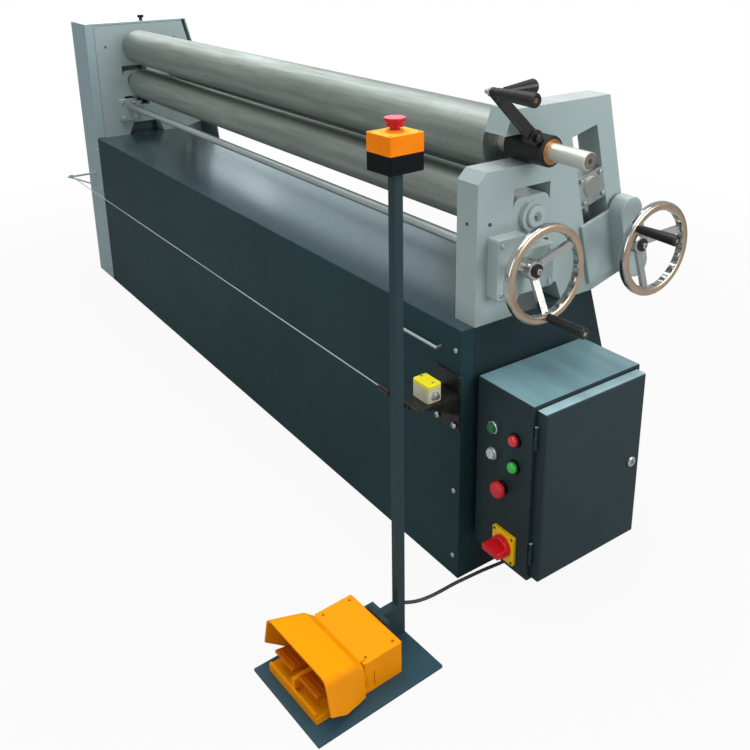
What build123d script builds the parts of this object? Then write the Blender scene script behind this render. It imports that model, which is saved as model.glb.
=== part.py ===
from build123d import *
import math
import os

# A motorised three-roll plate bending machine. Millimetres, +Z up, +X to the tail end with the handwheels,
# the operator stands at -Y. The origin is the middle of the base's footprint on the floor.

# Base
BASE_LENGTH = 2695.0
BASE_DEPTH = 684.0
BASE_TOP_DEPTH = 449.0
BASE_HEIGHT = 720.0
SHEET = 4.0
RIB_THICK = 8.0
RIB_COUNT = 5
FLANGE_WIDTH = 60.0
FLANGE_THICK = 8.0
BACKING_WIDTH = 44.0
BACKING_THICK = 6.0
ANCHOR_R = 9.0
ANCHOR_INSET = 140.0
PANEL_RETURN = 40.0
PANEL_SEAM = 1.5

# Cheeks
CHEEK_THICK = 74.0
CHEEK_SETBACK = 40.0
CHEEK_HEIGHT = 522.0
CHEEK_TOP_DEPTH = 471.0
CHEEK_LEAN = 14.5
STEP_CHAMFER = 26.0
BROW_SETBACK = 121.0
BROW_LEAN = 21.0
ARCH_SETBACK = 248.0
ARCH_FOOT_WIDTH = 175.0
ARCH_TOP_WIDTH = 127.0
ARCH_HEIGHT = 57.0
DOWEL_R = 6.0
DOWEL_DEPTH = 14.0
DOWEL_REAR = 42.0

# Head casing
CASING_WIDTH = 203.0
CASING_TOP_GAP = 6.0
CASING_REAR_GAP = 16.0
CASING_FOOT_GAP = 16.0
CASING_SEAM = 1.5
OIL_CAP_SETBACK = 282.0
OIL_CAP_R = 13.0
OIL_CAP_HEIGHT = 26.0
OIL_NECK_R = 8.0

# Rolls
ROLL_TAIL_GAP = 25.5
ROLL_HEAD_GAP = 95.5
ROLL_SETBACK = 214.0
TOP_ROLL_R = 77.5
TOP_ROLL_BELOW = 99.0
LOWER_ROLL_R = 67.5
LOWER_ROLL_BELOW = 168.0
REAR_ROLL_R = 67.5
REAR_ROLL_SETBACK = 425.0
REAR_ROLL_BELOW = 133.0
JOURNAL_R = 30.0
REAR_JOURNAL_R = 28.0
COLLAR_STEP = 6.0
END_CLEAR = 0.5
ROLL_CHAMFER = 2.0
RUN_CLEAR = 0.05
SEAT_CLEAR = 0.02

# Top roll bearings and release lever
PIVOT_BALL_R = 52.0
PIVOT_BALL_WIDTH = 52.0
PIVOT_CLEAR = 0.3
PIVOT_LIP_R = 44.0
PIVOT_JOURNAL_R = 32.0
PIVOT_NUT_R = 40.0
PIVOT_SHOULDER_R = 50.0
PIVOT_SHOULDER_GAP = 8.0
PIVOT_NUT_WIDTH = 20.0
SLEEVE_R = 38.0
SLEEVE_INSET = 66.0
SLEEVE_PROUD = 59.0
SLOT_CLEAR = 0.4
BUSH_R = 30.5
BUSH_PROUD = 1.5
TAIL_JOURNAL_R = 22.0
TAIL_JOURNAL_PROUD = 176.0
SPIGOT_R = 21.5
SPIGOT_GAP = 2.0
CENTRE_HOLE_R = 6.0
CENTRE_HOLE_DEPTH = 16.0
LEVER_PROUD = 24.0
LEVER_THICK = 14.0
LEVER_LENGTH = 220.0
LEVER_ANGLE = 136.4
LEVER_ROOT_WIDTH = 31.0
LEVER_TIP_WIDTH = 23.0
LEVER_BOSS_R = 19.0
LEVER_BOSS_OUT = 14.0
LONG_GRIP_ROOT_R = 12.0
LONG_GRIP_R = 17.0
LONG_GRIP_LENGTH = 122.0
TAPER_GRIP_START = 30.0
TAPER_GRIP_LENGTH = 90.0
TAPER_GRIP_RISE = 1.0
LEVER_STUD_R = 6.0
TAPER_GRIP_SMALL_R = 9.0
TAPER_GRIP_LARGE_R = 18.0

# Jacks under the lower and rear rolls
SHAFT_R = 14.0
FRONT_SHAFT_SETBACK = 157.0
FRONT_SHAFT_BELOW = 108.0
REAR_SHAFT_DOWN = 172.0
REAR_SHAFT_BACK = 57.0
NUT_R = 36.2
NUT_HEIGHT = 24.0
NUT_TEETH = 20
TOOTH_GASH = 4.0
MESH_CLEAR = 0.4
WORM_LENGTH = 60.0
WORM_GROOVES = 5
WORM_GROOVE_WIDTH = 5.0
WORM_GROOVE_DEPTH = 4.0
POCKET_CLEAR = 2.0
SPINDLE_R = 14.0
SPINDLE_ENGAGE = 8.0
SPINDLE_CLEAR = 1.4
THREAD_CLEAR = 0.1
SEAT_GAP = 0.1
SLIDE_CLEAR = 0.2
LIFT_UP = 22.0
LIFT_DOWN = 10.0
BEND_UP = 60.0
LOWER_BLOCK_WIDTH = 122.0
LOWER_BLOCK_ABOVE = 50.0
LOWER_BLOCK_BELOW = 70.0
LOWER_BUSH_R = 38.0
WINDOW_MARGIN = 3.0
REAR_BLOCK_WIDTH = 90.0
REAR_BLOCK_ABOVE = 40.0
REAR_BLOCK_BELOW = 45.0
REAR_WINDOW_ABOVE = 155.0
BOSS_R = 41.0
BOSS_PROUD = 14.0
CAP_R = 28.0
CAP_THICK = 8.0
CAP_BOLT_R = 8.0
CAP_BOLT_HEIGHT = 6.0

# Worm covers
COVER_DEPTH = 38.0
COVER_FRONT = 74.0
COVER_STEP = 168.0
COVER_REAR = 262.0
COVER_DOWN = 75.0
COVER_UP = 78.0
COVER_LOW_UP = 38.0
COVER_FILLET = 6.0
APRON_THICK = 10.0
APRON_UP = 88.0
APRON_DOWN = 260.0
APRON_FRONT = 62.0
APRON_REAR = 100.0
HOUSING_DEPTH = 44.0
HOUSING_UP = 56.0
HOUSING_DOWN = 290.0
HOUSING_BACK = 78.0
HOUSING_R = 40.0
BRACKET_WIDTH = 76.0
BRACKET_ABOVE = 28.0
BRACKET_BELOW = 72.0
BRACKET_DEPTH = 34.0
BRACKET_FILLET = 5.0

# Handwheels
WHEEL_R = 125.0
RIM_R = 11.5
RIM_ROUND = 8.0
WAVE_COUNT = 18
WAVE_R = 30.0
WAVE_DEPTH = 3.0
HUB_R = 25.0
HUB_LENGTH = 40.0
FRONT_DISH = 26.0
REAR_DISH = 36.0
SPOKE_COUNT = 3
SPOKE_WIDTH = 20.0
SPOKE_THICK = 11.0
FRONT_WHEEL_PROUD = 110.0
REAR_WHEEL_PROUD = 132.0
FRONT_GRIP_ANGLE = -85.5
REAR_GRIP_ANGLE = 138.5
GRIP_RADIUS = 110.0
GRIP_LENGTH = 112.0
GRIP_ROOT_R = 11.0
GRIP_END_R = 14.5
GRIP_SPINDLE_R = 5.0
GRIP_GAP = 3.0
GRIP_FILLET = 4.0

# Drive
GEARBOX_GAP = 8.0
GEARBOX_WIDTH = 100.0
GEARBOX_OUT_R = 82.0
GEARBOX_IN_R = 104.0
JOURNAL_PAST = 6.0
MOTOR_BELOW = 415.0
MOTOR_R = 86.0
MOTOR_FLANGE_R = 100.0
MOTOR_FLANGE_THICK = 16.0
MOTOR_LENGTH = 250.0
MOTOR_FINS = 16
FIN_HEIGHT = 9.0
FIN_THICK = 4.0
COWL_LENGTH = 52.0
COWL_WALL = 2.5
STATOR_R = 52.0
SHIELD_THICK = 14.0
AIR_GAP = 1.5
ROTOR_SHAFT_R = 14.0
FAN_R = 70.0
FAN_THICK = 18.0
MOTOR_PASS = 8.0

# Front panel rod and fixing screws
ROD_R = 4.0
ROD_LENGTH = 175.0
ROD_INSET = 75.0
ROD_BELOW = 67.0
ROD_PROUD = 16.0
SCREW_HEAD_R = 7.0
SCREW_HEAD_HEIGHT = 4.0
SCREW_R = 3.0
SCREW_LENGTH = 9.0
SCREW_ROW = 4
SCREW_ROW_BOTTOM = 63.0
SCREW_ROW_TOP = 57.0
SCREW_EDGE = 20.0
COVER_SCREW_INSET = 14.0

# Trip wire
WIRE_R = 1.8
WIRE_OUT = 116.0
WIRE_BELOW = 189.0
WIRE_TAIL_GAP = 185.0
WIRE_ARM_INSET = 100.0
WIRE_ARM_R = 5.0
WIRE_ARM_PAST = 18.0
WIRE_EYE_R = 9.0
WIRE_EYE_WIDTH = 12.0
WIRE_EYE_CLEAR = 0.4
WIRE_KNOB_R = 6.0
WIRE_KNOB_LENGTH = 14.0
WIRE_BRACE_R = 3.5
WIRE_BRACE_DROP = 62.0
WIRE_TRAVEL = 6.0
FITTING_R = 8.0
FITTING_LENGTH = 46.0
PULL_ROD_R = 3.0
PULL_NUT_R = 7.0
PULL_NUT_LENGTH = 10.0
TRIP_PLATE_WIDTH = 98.0
TRIP_PLATE_DOWN = 85.0
TRIP_PLATE_UP = 69.0
TRIP_PLATE_THICK = 5.0
TRIP_SHELF_THICK = 5.0
TRIP_TAB_IN = 76.0
TRIP_TAB_WIDTH = 26.0
TRIP_TAB_DROP = 12.0
TRIP_WEB_DROP = 52.0
TRIP_BOLT_UP = 14.0
TRIP_BOLT_IN = 16.0
SWITCH_LENGTH = 64.0
SWITCH_DEPTH = 44.0
SWITCH_HEIGHT = 38.0
SWITCH_LID_HEIGHT = 10.0
SWITCH_INSET = 13.0
SWITCH_BACK = 23.0
SWITCH_FILLET = 8.0

# Electric cabinet on the tail end
CAB_STANDOFF = 19.0
CAB_STANDOFF_R = 14.0
CAB_STANDOFF_INSET = 60.0
CAB_DEPTH = 190.0
CAB_WIDTH = 367.0
CAB_HEIGHT = 484.0
CAB_SETBACK = 41.0
CAB_Z = 114.0
CAB_WALL = 2.0
CAB_LIP = 25.0
DOOR_MARGIN = 11.0
DOOR_DEPTH = 30.0
DOOR_GAP = 2.0
DOOR_FILLET = 6.0
HINGE_R = 4.0
HINGE_PIN_R = 2.0
HINGE_HEIGHT = 30.0
HINGE_INSET = 70.0
HINGE_OUT = 5.5
HINGE_PIN_CLEAR = 0.08
LOCK_SETBACK = 362.0
LOCK_Z = 350.0
LOCK_R = 11.0
LOCK_HEAD_R = 14.0
LOCK_HEAD = 7.0
CAM_LENGTH = 30.0
CAM_WIDTH = 13.0
CAM_THICK = 3.0
LEFT_CONTROL = 80.0
RIGHT_CONTROL = 156.0
UPPER_CONTROL_Z = 486.0
LOWER_CONTROL_Z = 413.0
BUTTON_R = 13.0
BUTTON_PROUD = 15.0
BUTTON_TRAVEL = 4.0
BUTTON_STEM_R = 8.0
BUTTON_STEM = 20.0
BUTTON_CLEAR = 0.4
BEZEL_R = 17.0
BEZEL_DEPTH = 9.0
LAMP_R = 14.0
LAMP_PROUD = 18.0
ESTOP_X = 118.0
ESTOP_Z = 334.0
ESTOP_HEAD_R = 21.0
ESTOP_HEAD_DEPTH = 14.0
ESTOP_STEM_R = 12.0
ESTOP_STEM = 15.0
SWITCH_PLATE_X = 132.0
SWITCH_PLATE_Z = 175.0
SWITCH_PLATE_WIDTH = 76.0
SWITCH_PLATE_HEIGHT = 82.0
SWITCH_PLATE_THICK = 8.0
KNOB_R = 29.0
KNOB_DEPTH = 16.0
KNOB_BAR_LENGTH = 60.0
KNOB_BAR_WIDTH = 19.0
KNOB_BAR_DEPTH = 26.0
KNOB_GAP = 0.4

# Pedestal with emergency stop
PEDESTAL_TURN = 3.0
STAND_X = 80.0
STAND_OUT = 405.0
STAND_WIDTH = 268.0
STAND_DEPTH = 350.0
STAND_THICK = 8.0
COLUMN_X = 70.0
COLUMN_OUT = 245.0
COLUMN_SIDE = 22.0
COLUMN_WALL = 2.0
FOOT_PLATE_WIDTH = 74.0
FOOT_PLATE_HEIGHT = 92.0
FOOT_PLATE_THICK = 12.0
STOP_BOX_Z = 1176.0
STOP_BOX_X = 79.0
STOP_BOX_Y = 89.0
STOP_BOX_HEIGHT = 39.0
STOP_LID_HEIGHT = 40.0
STOP_WALL = 3.0
STOP_FILLET = 4.0
STOP_COLLAR_R = 18.0
STOP_COLLAR = 4.0
STOP_STEM_R = 10.0
STOP_BODY_R = 17.5
STOP_BODY = 10.0
STOP_HEAD_R = 23.0
STOP_HEAD = 9.0
STOP_GAP = 6.5

# Double foot switch
PEDAL_X = 69.0
PEDAL_WIDTH = 199.0
PEDAL_OUT = 434.0
PEDAL_LENGTH = 240.0
PEDAL_BASE_THICK = 14.0
PEDAL_BODY_LENGTH = 110.0
PEDAL_BODY_HEIGHT = 85.0
PEDAL_WALL = 4.0
PEDAL_FILLET = 5.0
DIVIDER_WIDTH = 14.0
DIVIDER_HEIGHT = 34.0
TREAD_LENGTH = 100.0
TREAD_THICK = 9.0
TREAD_RISE = 20.0
TREAD_GAP = 5.0
TREAD_FILLET = 3.0
PEDAL_PIN_R = 5.0
PEDAL_BARREL_R = 9.0
PEDAL_PIN_BACK = 13.0
PEDAL_PIN_Z = 42.0
LUG_WIDTH = 8.0
REST_GAP = 1.0
LIP_DEPTH = 6.0
LIP_HEIGHT = 9.0
TOP_SCREW_R = 4.0
TOP_SCREW_INSET = 16.0
KNOCKOUT_LENGTH = 28.0
KNOCKOUT_HEIGHT = 44.0
KNOCKOUT_DEPTH = 2.0
KNOCKOUT_R = 11.0
HOOD_FRONT_IN = 14.0
HOOD_WALL = 4.0
HOOD_ROUND = 20.0
HOOD_LAP = 10.0
HOOD_BEND = (0.15, 0.32, 0.5, 0.68, 0.85)
HOOD_SECTIONS = [
    (0.0, 19.5, 127.0, 38.5, 44.0),
    (48.0, 13.5, 116.5, 27.5, 12.0),
    (90.0, 7.5, 107.0, 17.5, 7.0),
    (112.0, 4.0, 89.0, 10.5, 4.0),
]
GLAND_R = 9.0
GLAND_LENGTH = 16.0
CAB_GLAND_X = 37.5
CAB_GLAND_SETBACK = 198.0
CORD_R = 4.5
CORD_CLEAR = 0.2
CORD_BEND_SHARE = 0.45

# Cable: places along, in front of and above the base's front corner at the tail end
CORD_ROUTE = [
    (68.0, -245.0, 27.0),
    (31.0, -245.0, 27.0),
    (0.0, -222.0, 20.0),
    (-10.0, -186.0, 9.5),
    (7.0, -151.0, 5.0),
    (15.0, -112.0, 4.6),
    (16.0, -67.0, 4.7),
    (14.0, -22.0, 4.6),
    (17.0, 28.0, 4.6),
    (19.0, 72.0, 4.6),
    (24.0, 112.0, 4.8),
    (30.0, 151.0, 7.5),
    (35.5, 184.0, 29.0),
    (37.5, 198.0, 65.0),
    (37.5, 198.0, 98.0),
]

# How far a cutting solid runs past the faces that it opens
PAST = 1.0

# Places worked out from the driving dimensions
TAIL_X = BASE_LENGTH / 2
HEAD_X = -BASE_LENGTH / 2
FRONT_Y = -BASE_DEPTH / 2
SKIN_Y = FRONT_Y + SHEET
REAR_TOP_Y = FRONT_Y + BASE_TOP_DEPTH
REAR_FLOOR_Y = FRONT_Y + BASE_DEPTH
TAIL_IN = TAIL_X - CHEEK_THICK
HEAD_OUT = HEAD_X - CHEEK_THICK
CHEEK_TOP = BASE_HEIGHT + CHEEK_HEIGHT
TOP_ROLL_Z = CHEEK_TOP - TOP_ROLL_BELOW
LOWER_ROLL_Z = TOP_ROLL_Z - LOWER_ROLL_BELOW
REAR_ROLL_Z = TOP_ROLL_Z - REAR_ROLL_BELOW
FRONT_SHAFT_Z = LOWER_ROLL_Z - FRONT_SHAFT_BELOW
COVER_BOTTOM = FRONT_SHAFT_Z - COVER_DOWN
COVER_TOP = FRONT_SHAFT_Z + COVER_UP
COVER_LOW_TOP = FRONT_SHAFT_Z + COVER_LOW_UP
MOTOR_Z = LOWER_ROLL_Z - MOTOR_BELOW
ROD_Z = BASE_HEIGHT - ROD_BELOW
WIRE_Z = BASE_HEIGHT - WIRE_BELOW
TRIP_PLATE_BOTTOM = WIRE_Z - TRIP_PLATE_DOWN
TRIP_PLATE_TOP = WIRE_Z + TRIP_PLATE_UP
ROLL_Y = FRONT_Y + ROLL_SETBACK
REAR_Y = FRONT_Y + REAR_ROLL_SETBACK
ROLL_TAIL = TAIL_IN - ROLL_TAIL_GAP
ROLL_HEAD = HEAD_X + ROLL_HEAD_GAP
LEAN = math.radians(CHEEK_LEAN)
LEAN_SIN = math.sin(LEAN)
LEAN_COS = math.cos(LEAN)
FRONT_SHAFT_Y = FRONT_Y + FRONT_SHAFT_SETBACK
SLOT_R = SLEEVE_R + SLOT_CLEAR
WORM_R = ROLL_SETBACK - FRONT_SHAFT_SETBACK - NUT_R - MESH_CLEAR
REAR_WORM_R = REAR_SHAFT_BACK - NUT_R - MESH_CLEAR
NUT_SEAT = NUT_HEIGHT / 2 + SEAT_GAP
BORE_SPINDLE_R = SPINDLE_R + SPINDLE_CLEAR
HEAD_MID = (HEAD_OUT + HEAD_X) / 2
TAIL_MID = (TAIL_IN + TAIL_X) / 2
CAB_BACK = TAIL_X + CAB_STANDOFF
CAB_FACE = CAB_BACK + CAB_DEPTH
CAB_Y = FRONT_Y + CAB_SETBACK
STAND_Y = FRONT_Y - STAND_OUT
PEDAL_Y = FRONT_Y - PEDAL_OUT


# Helpers for solids along the machine's axes

def box(x0, x1, y0, y1, z0, z1):
    middle = Pos((x0 + x1) / 2, (y0 + y1) / 2, (z0 + z1) / 2)
    return middle * Box(x1 - x0, y1 - y0, z1 - z0)


def rod_x(x0, x1, y, z, radius):
    return Pos((x0 + x1) / 2, y, z) * Rot(0, 90, 0) * Cylinder(radius, x1 - x0)


def rod_y(y0, y1, x, z, radius):
    return Pos(x, (y0 + y1) / 2, z) * Rot(-90, 0, 0) * Cylinder(radius, y1 - y0)


def rod_z(z0, z1, x, y, radius):
    return Pos(x, y, (z0 + z1) / 2) * Cylinder(radius, z1 - z0)


def slab_x(points, x0, x1):
    outline = Polyline(*[(x0, y, z) for y, z in points], close=True)
    return extrude(make_face(outline), amount=x1 - x0, dir=(1, 0, 0))


def slab_y(points, y0, y1):
    outline = Polyline(*[(x, y0, z) for x, z in points], close=True)
    return extrude(make_face(outline), amount=y1 - y0, dir=(0, 1, 0))


# The rear roll climbs along a leaning axis: places are given down that axis and back from it

def oblique(down, back):
    y = REAR_Y + down * LEAN_SIN + back * LEAN_COS
    z = REAR_ROLL_Z - down * LEAN_COS + back * LEAN_SIN
    return y, z


def slab_oblique(down0, down1, back0, back1, x0, x1):
    corners = [oblique(down0, back0), oblique(down0, back1), oblique(down1, back1), oblique(down1, back0)]
    return slab_x(corners, x0, x1)


def rod_oblique(down0, down1, x, radius):
    y, z = oblique(down0, 0)
    along = Plane(origin=(x, y, z), z_dir=(0, LEAN_SIN, -LEAN_COS))
    return along * Cylinder(radius, down1 - down0, align=(Align.CENTER, Align.CENTER, Align.MIN))


REAR_SHAFT_Y, REAR_SHAFT_Z = oblique(REAR_SHAFT_DOWN, REAR_SHAFT_BACK)


# Base: a welded shell of sheet with ribs, floor flanges and backing strips, and its front panel

SCREW_ROW_PITCH = (BASE_HEIGHT - SCREW_ROW_BOTTOM - SCREW_ROW_TOP) / (SCREW_ROW - 1)
SCREW_LEVELS = [SCREW_ROW_BOTTOM + SCREW_ROW_PITCH * row for row in range(SCREW_ROW)]
PANEL_LEVELS = [z for z in SCREW_LEVELS if not TRIP_PLATE_BOTTOM < z < TRIP_PLATE_TOP]
PANEL_SCREW_X = TAIL_X - SCREW_EDGE
CASING_SCREW_X = HEAD_X - SCREW_EDGE
ANCHOR_X = TAIL_X - ANCHOR_INSET
SLOPE = (REAR_FLOOR_Y - REAR_TOP_Y) / BASE_HEIGHT
SLANT = SHEET * math.hypot(1, SLOPE)
ANCHOR_FRONT_Y = SKIN_Y + FLANGE_WIDTH / 2
ANCHOR_REAR_Y = -ANCHOR_FRONT_Y


def screw_holes(x, levels, y0, y1):
    return [rod_y(y0, y1, x, z, SCREW_R + SEAT_CLEAR) for z in levels]


def base_shell():
    ceiling = BASE_HEIGHT - SHEET
    outer = [(SKIN_Y, 0), (SKIN_Y, BASE_HEIGHT), (REAR_TOP_Y, BASE_HEIGHT), (REAR_FLOOR_Y, 0)]
    rear_in = REAR_TOP_Y + SLOPE * SHEET - SLANT
    inner = [(SKIN_Y, 0), (SKIN_Y, ceiling), (rear_in, ceiling), (REAR_FLOOR_Y - SLANT, 0)]
    shell = slab_x(outer, HEAD_OUT, TAIL_X)
    pitch = (TAIL_X - HEAD_OUT - RIB_THICK) / (RIB_COUNT - 1)
    ribs = [HEAD_OUT + pitch * number for number in range(RIB_COUNT)]
    shell -= [slab_x(inner, left + RIB_THICK, right) for left, right in zip(ribs, ribs[1:])]
    front_flange = box(HEAD_OUT, TAIL_X, SKIN_Y, SKIN_Y + FLANGE_WIDTH, 0, FLANGE_THICK)
    rear_edge = REAR_FLOOR_Y - SLANT
    rear_flange = box(HEAD_OUT, TAIL_X, rear_edge - FLANGE_WIDTH, rear_edge, 0, FLANGE_THICK)
    backing_y = SKIN_Y + BACKING_THICK
    tail_strip = box(TAIL_X - BACKING_WIDTH, TAIL_X, SKIN_Y, backing_y, 0, ceiling)
    head_strip = box(HEAD_X - BACKING_WIDTH, HEAD_X, SKIN_Y, backing_y, 0, ceiling)
    shell += [front_flange, rear_flange, tail_strip, head_strip]
    anchors = [
        rod_z(-PAST, FLANGE_THICK + PAST, side * ANCHOR_X, y, ANCHOR_R)
        for side in (-1, 1)
        for y in (ANCHOR_FRONT_Y, ANCHOR_REAR_Y)
    ]
    shell -= anchors
    return_y = FRONT_Y + PANEL_RETURN + PANEL_SEAM
    return_seat = box(TAIL_X - SHEET, TAIL_X + PAST, SKIN_Y - PAST, return_y, -PAST, BASE_HEIGHT + PAST)
    motor_room = MOTOR_FLANGE_R + max(LIFT_UP, LIFT_DOWN) + MOTOR_PASS
    motor_hole = rod_x(HEAD_OUT - PAST, HEAD_OUT + RIB_THICK + PAST, ROLL_Y, MOTOR_Z, motor_room)
    tapped = screw_holes(PANEL_SCREW_X, PANEL_LEVELS, SKIN_Y - PAST, SKIN_Y + SCREW_LENGTH)
    tapped += screw_holes(CASING_SCREW_X, SCREW_LEVELS, SKIN_Y - PAST, SKIN_Y + SCREW_LENGTH)
    return shell - ([return_seat, motor_hole] + tapped)


def front_panel():
    face = box(HEAD_X + PANEL_SEAM, TAIL_X, FRONT_Y, SKIN_Y, 0, BASE_HEIGHT)
    side = box(TAIL_X - SHEET, TAIL_X, FRONT_Y, FRONT_Y + PANEL_RETURN, 0, BASE_HEIGHT)
    holes = screw_holes(PANEL_SCREW_X, PANEL_LEVELS, FRONT_Y - PAST, SKIN_Y + PAST)
    return face + side - holes


def panel_rod():
    x1 = TAIL_X - ROD_INSET
    x0 = x1 - ROD_LENGTH
    y = FRONT_Y - ROD_PROUD
    bar = rod_x(x0, x1, y, ROD_Z, ROD_R)
    pegs = [rod_y(y, FRONT_Y, x, ROD_Z, ROD_R) for x in (x0 + ROD_R, x1 - ROD_R)]
    return bar + pegs


# Cheeks: two thick plates with a vertical window, an oblique window and an arch at the foot

def arch_cut(x0, x1):
    middle = FRONT_Y + ARCH_SETBACK
    foot = ARCH_FOOT_WIDTH / 2
    top = ARCH_TOP_WIDTH / 2
    height = BASE_HEIGHT + ARCH_HEIGHT
    points = [(middle - foot, BASE_HEIGHT), (middle + foot, BASE_HEIGHT)]
    points += [(middle + top, height), (middle - top, height)]
    return slab_x(points, x0, x1)


def jack_cuts(x0, x1):
    middle = (x0 + x1) / 2
    half = LOWER_BLOCK_WIDTH / 2
    seat = FRONT_SHAFT_Z - NUT_SEAT
    top = LOWER_ROLL_Z + LOWER_BLOCK_ABOVE + LIFT_UP + WINDOW_MARGIN
    window = box(x0, x1, ROLL_Y - half, ROLL_Y + half, seat, top)
    room = WORM_R + POCKET_CLEAR
    worm = box(x0, x1, FRONT_SHAFT_Y - room, ROLL_Y, FRONT_SHAFT_Z - room, FRONT_SHAFT_Z + room)
    spindle = rod_z(BASE_HEIGHT + ARCH_HEIGHT - PAST, seat + PAST, middle, ROLL_Y, BORE_SPINDLE_R)
    half = REAR_BLOCK_WIDTH / 2
    rear_seat = REAR_SHAFT_DOWN + NUT_SEAT
    rear_window = slab_oblique(-REAR_WINDOW_ABOVE, rear_seat, -half, half, x0, x1)
    room = REAR_WORM_R + POCKET_CLEAR
    worm_end = REAR_SHAFT_BACK + room
    rear_worm = slab_oblique(REAR_SHAFT_DOWN - room, REAR_SHAFT_DOWN + room, 0, worm_end, x0, x1)
    rear_spindle = rod_oblique(rear_seat - PAST, rear_seat + BASE_HEIGHT, middle, BORE_SPINDLE_R)
    return [window, worm, spindle, rear_window, rear_worm, rear_spindle, arch_cut(x0, x1)]


def cheek_rear():
    top = (FRONT_Y + CHEEK_TOP_DEPTH, CHEEK_TOP)
    run = (REAR_TOP_Y - top[0]) * LEAN_SIN + (top[1] - BASE_HEIGHT) * LEAN_COS
    corner = (top[0] + run * LEAN_SIN, top[1] - run * LEAN_COS)
    return [top, corner, (REAR_TOP_Y, BASE_HEIGHT)]


def tail_cheek():
    front = FRONT_Y + CHEEK_SETBACK
    step = TOP_ROLL_Z - SLOT_R
    brow = FRONT_Y + BROW_SETBACK
    points = [(front, BASE_HEIGHT), (front, step - STEP_CHAMFER), (front + STEP_CHAMFER, step)]
    points += [(brow, step), (brow, TOP_ROLL_Z + SLOT_R), (brow + BROW_LEAN, CHEEK_TOP)]
    plate = slab_x(points + cheek_rear(), TAIL_IN, TAIL_X)
    slot = box(TAIL_IN - PAST, TAIL_X + PAST, front, ROLL_Y, step, TOP_ROLL_Z + SLOT_R)
    slot_end = rod_x(TAIL_IN - PAST, TAIL_X + PAST, ROLL_Y, TOP_ROLL_Z, SLOT_R)
    dowel_front = rod_y(front - PAST, front + DOWEL_DEPTH, TAIL_MID, LOWER_ROLL_Z, DOWEL_R)
    dowel_side = rod_x(TAIL_X - DOWEL_DEPTH, TAIL_X + PAST, front + CHEEK_SETBACK, LOWER_ROLL_Z, DOWEL_R)
    return plate - (jack_cuts(TAIL_IN, TAIL_X) + [slot, slot_end, dowel_front, dowel_side])


def ball_edge(radius, x):
    return (x, math.sqrt(radius ** 2 - (x - HEAD_MID) ** 2))


def turned(profile):
    placed = Pos(0, ROLL_Y, TOP_ROLL_Z) * make_face(profile)
    return revolve(placed, Axis((0, ROLL_Y, TOP_ROLL_Z), (1, 0, 0)))


def pivot_cut():
    seat_r = PIVOT_BALL_R + PIVOT_CLEAR
    lip_x = HEAD_MID + math.sqrt(seat_r ** 2 - PIVOT_LIP_R ** 2)
    crown = (HEAD_MID, seat_r)
    lip = (lip_x, PIVOT_LIP_R)
    seat = ThreePointArc(crown, ball_edge(seat_r, (HEAD_MID + lip_x) / 2), lip)
    start = (HEAD_OUT - PAST, 0)
    end = (HEAD_X + PAST, 0)
    inner = Polyline(lip, (HEAD_X + PAST, PIVOT_LIP_R), end, start, (HEAD_OUT - PAST, seat_r), crown)
    return turned(seat + inner)


def head_cheek():
    front = FRONT_Y + CHEEK_SETBACK
    points = [(front, BASE_HEIGHT), (front, CHEEK_TOP)]
    plate = slab_x(points + cheek_rear(), HEAD_OUT, HEAD_X)
    dowel_y = (front + CHEEK_SETBACK + DOWEL_R, REAR_Y + DOWEL_REAR)
    dowels = [rod_x(HEAD_X - DOWEL_DEPTH, HEAD_X + PAST, y, TOP_ROLL_Z, DOWEL_R) for y in dowel_y]
    return plate - (jack_cuts(HEAD_OUT, HEAD_X) + [pivot_cut()] + dowels)


# Head casing: a folded sheet box round the drive side, open towards the head cheek

def casing_outline(inset):
    top, corner, _ = cheek_rear()
    roof = CHEEK_TOP + CASING_TOP_GAP + SHEET - inset
    rear = CASING_REAR_GAP + SHEET - inset
    points = [(FRONT_Y + inset, 0), (FRONT_Y + inset, roof), (top[0] + rear, roof)]
    points += [(corner[0] + rear, corner[1]), (REAR_FLOOR_Y + CASING_FOOT_GAP + SHEET - inset, 0)]
    return points


def head_casing():
    left = HEAD_X - CASING_WIDTH
    shell = slab_x(casing_outline(0), left, HEAD_X)
    room = slab_x(casing_outline(SHEET), left + SHEET, HEAD_X)
    roof = CHEEK_TOP + CASING_TOP_GAP + SHEET
    cap_y = FRONT_Y + OIL_CAP_SETBACK
    cap_z = roof + OIL_CAP_HEIGHT / 2
    oil_neck = rod_z(roof - SHEET, cap_z, HEAD_MID, cap_y, OIL_NECK_R)
    oil_cap = rod_z(cap_z, roof + OIL_CAP_HEIGHT, HEAD_MID, cap_y, OIL_CAP_R)
    front_gap = CHEEK_SETBACK - CASING_SEAM
    closing = box(HEAD_X - SHEET, HEAD_X, FRONT_Y, FRONT_Y + front_gap, BASE_HEIGHT + CASING_SEAM, roof)
    lintel_z = CHEEK_TOP + CASING_SEAM
    lintel = box(HEAD_X - SHEET, HEAD_X, FRONT_Y, FRONT_Y + CHEEK_TOP_DEPTH, lintel_z, roof)
    holes = screw_holes(CASING_SCREW_X, SCREW_LEVELS, FRONT_Y - PAST, SKIN_Y + PAST)
    return shell - room + [oil_neck, oil_cap, closing, lintel] - holes


# Top roll: carried at the head in a ball pivot, so that its tail end swings out of the cheek's open slot

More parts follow.
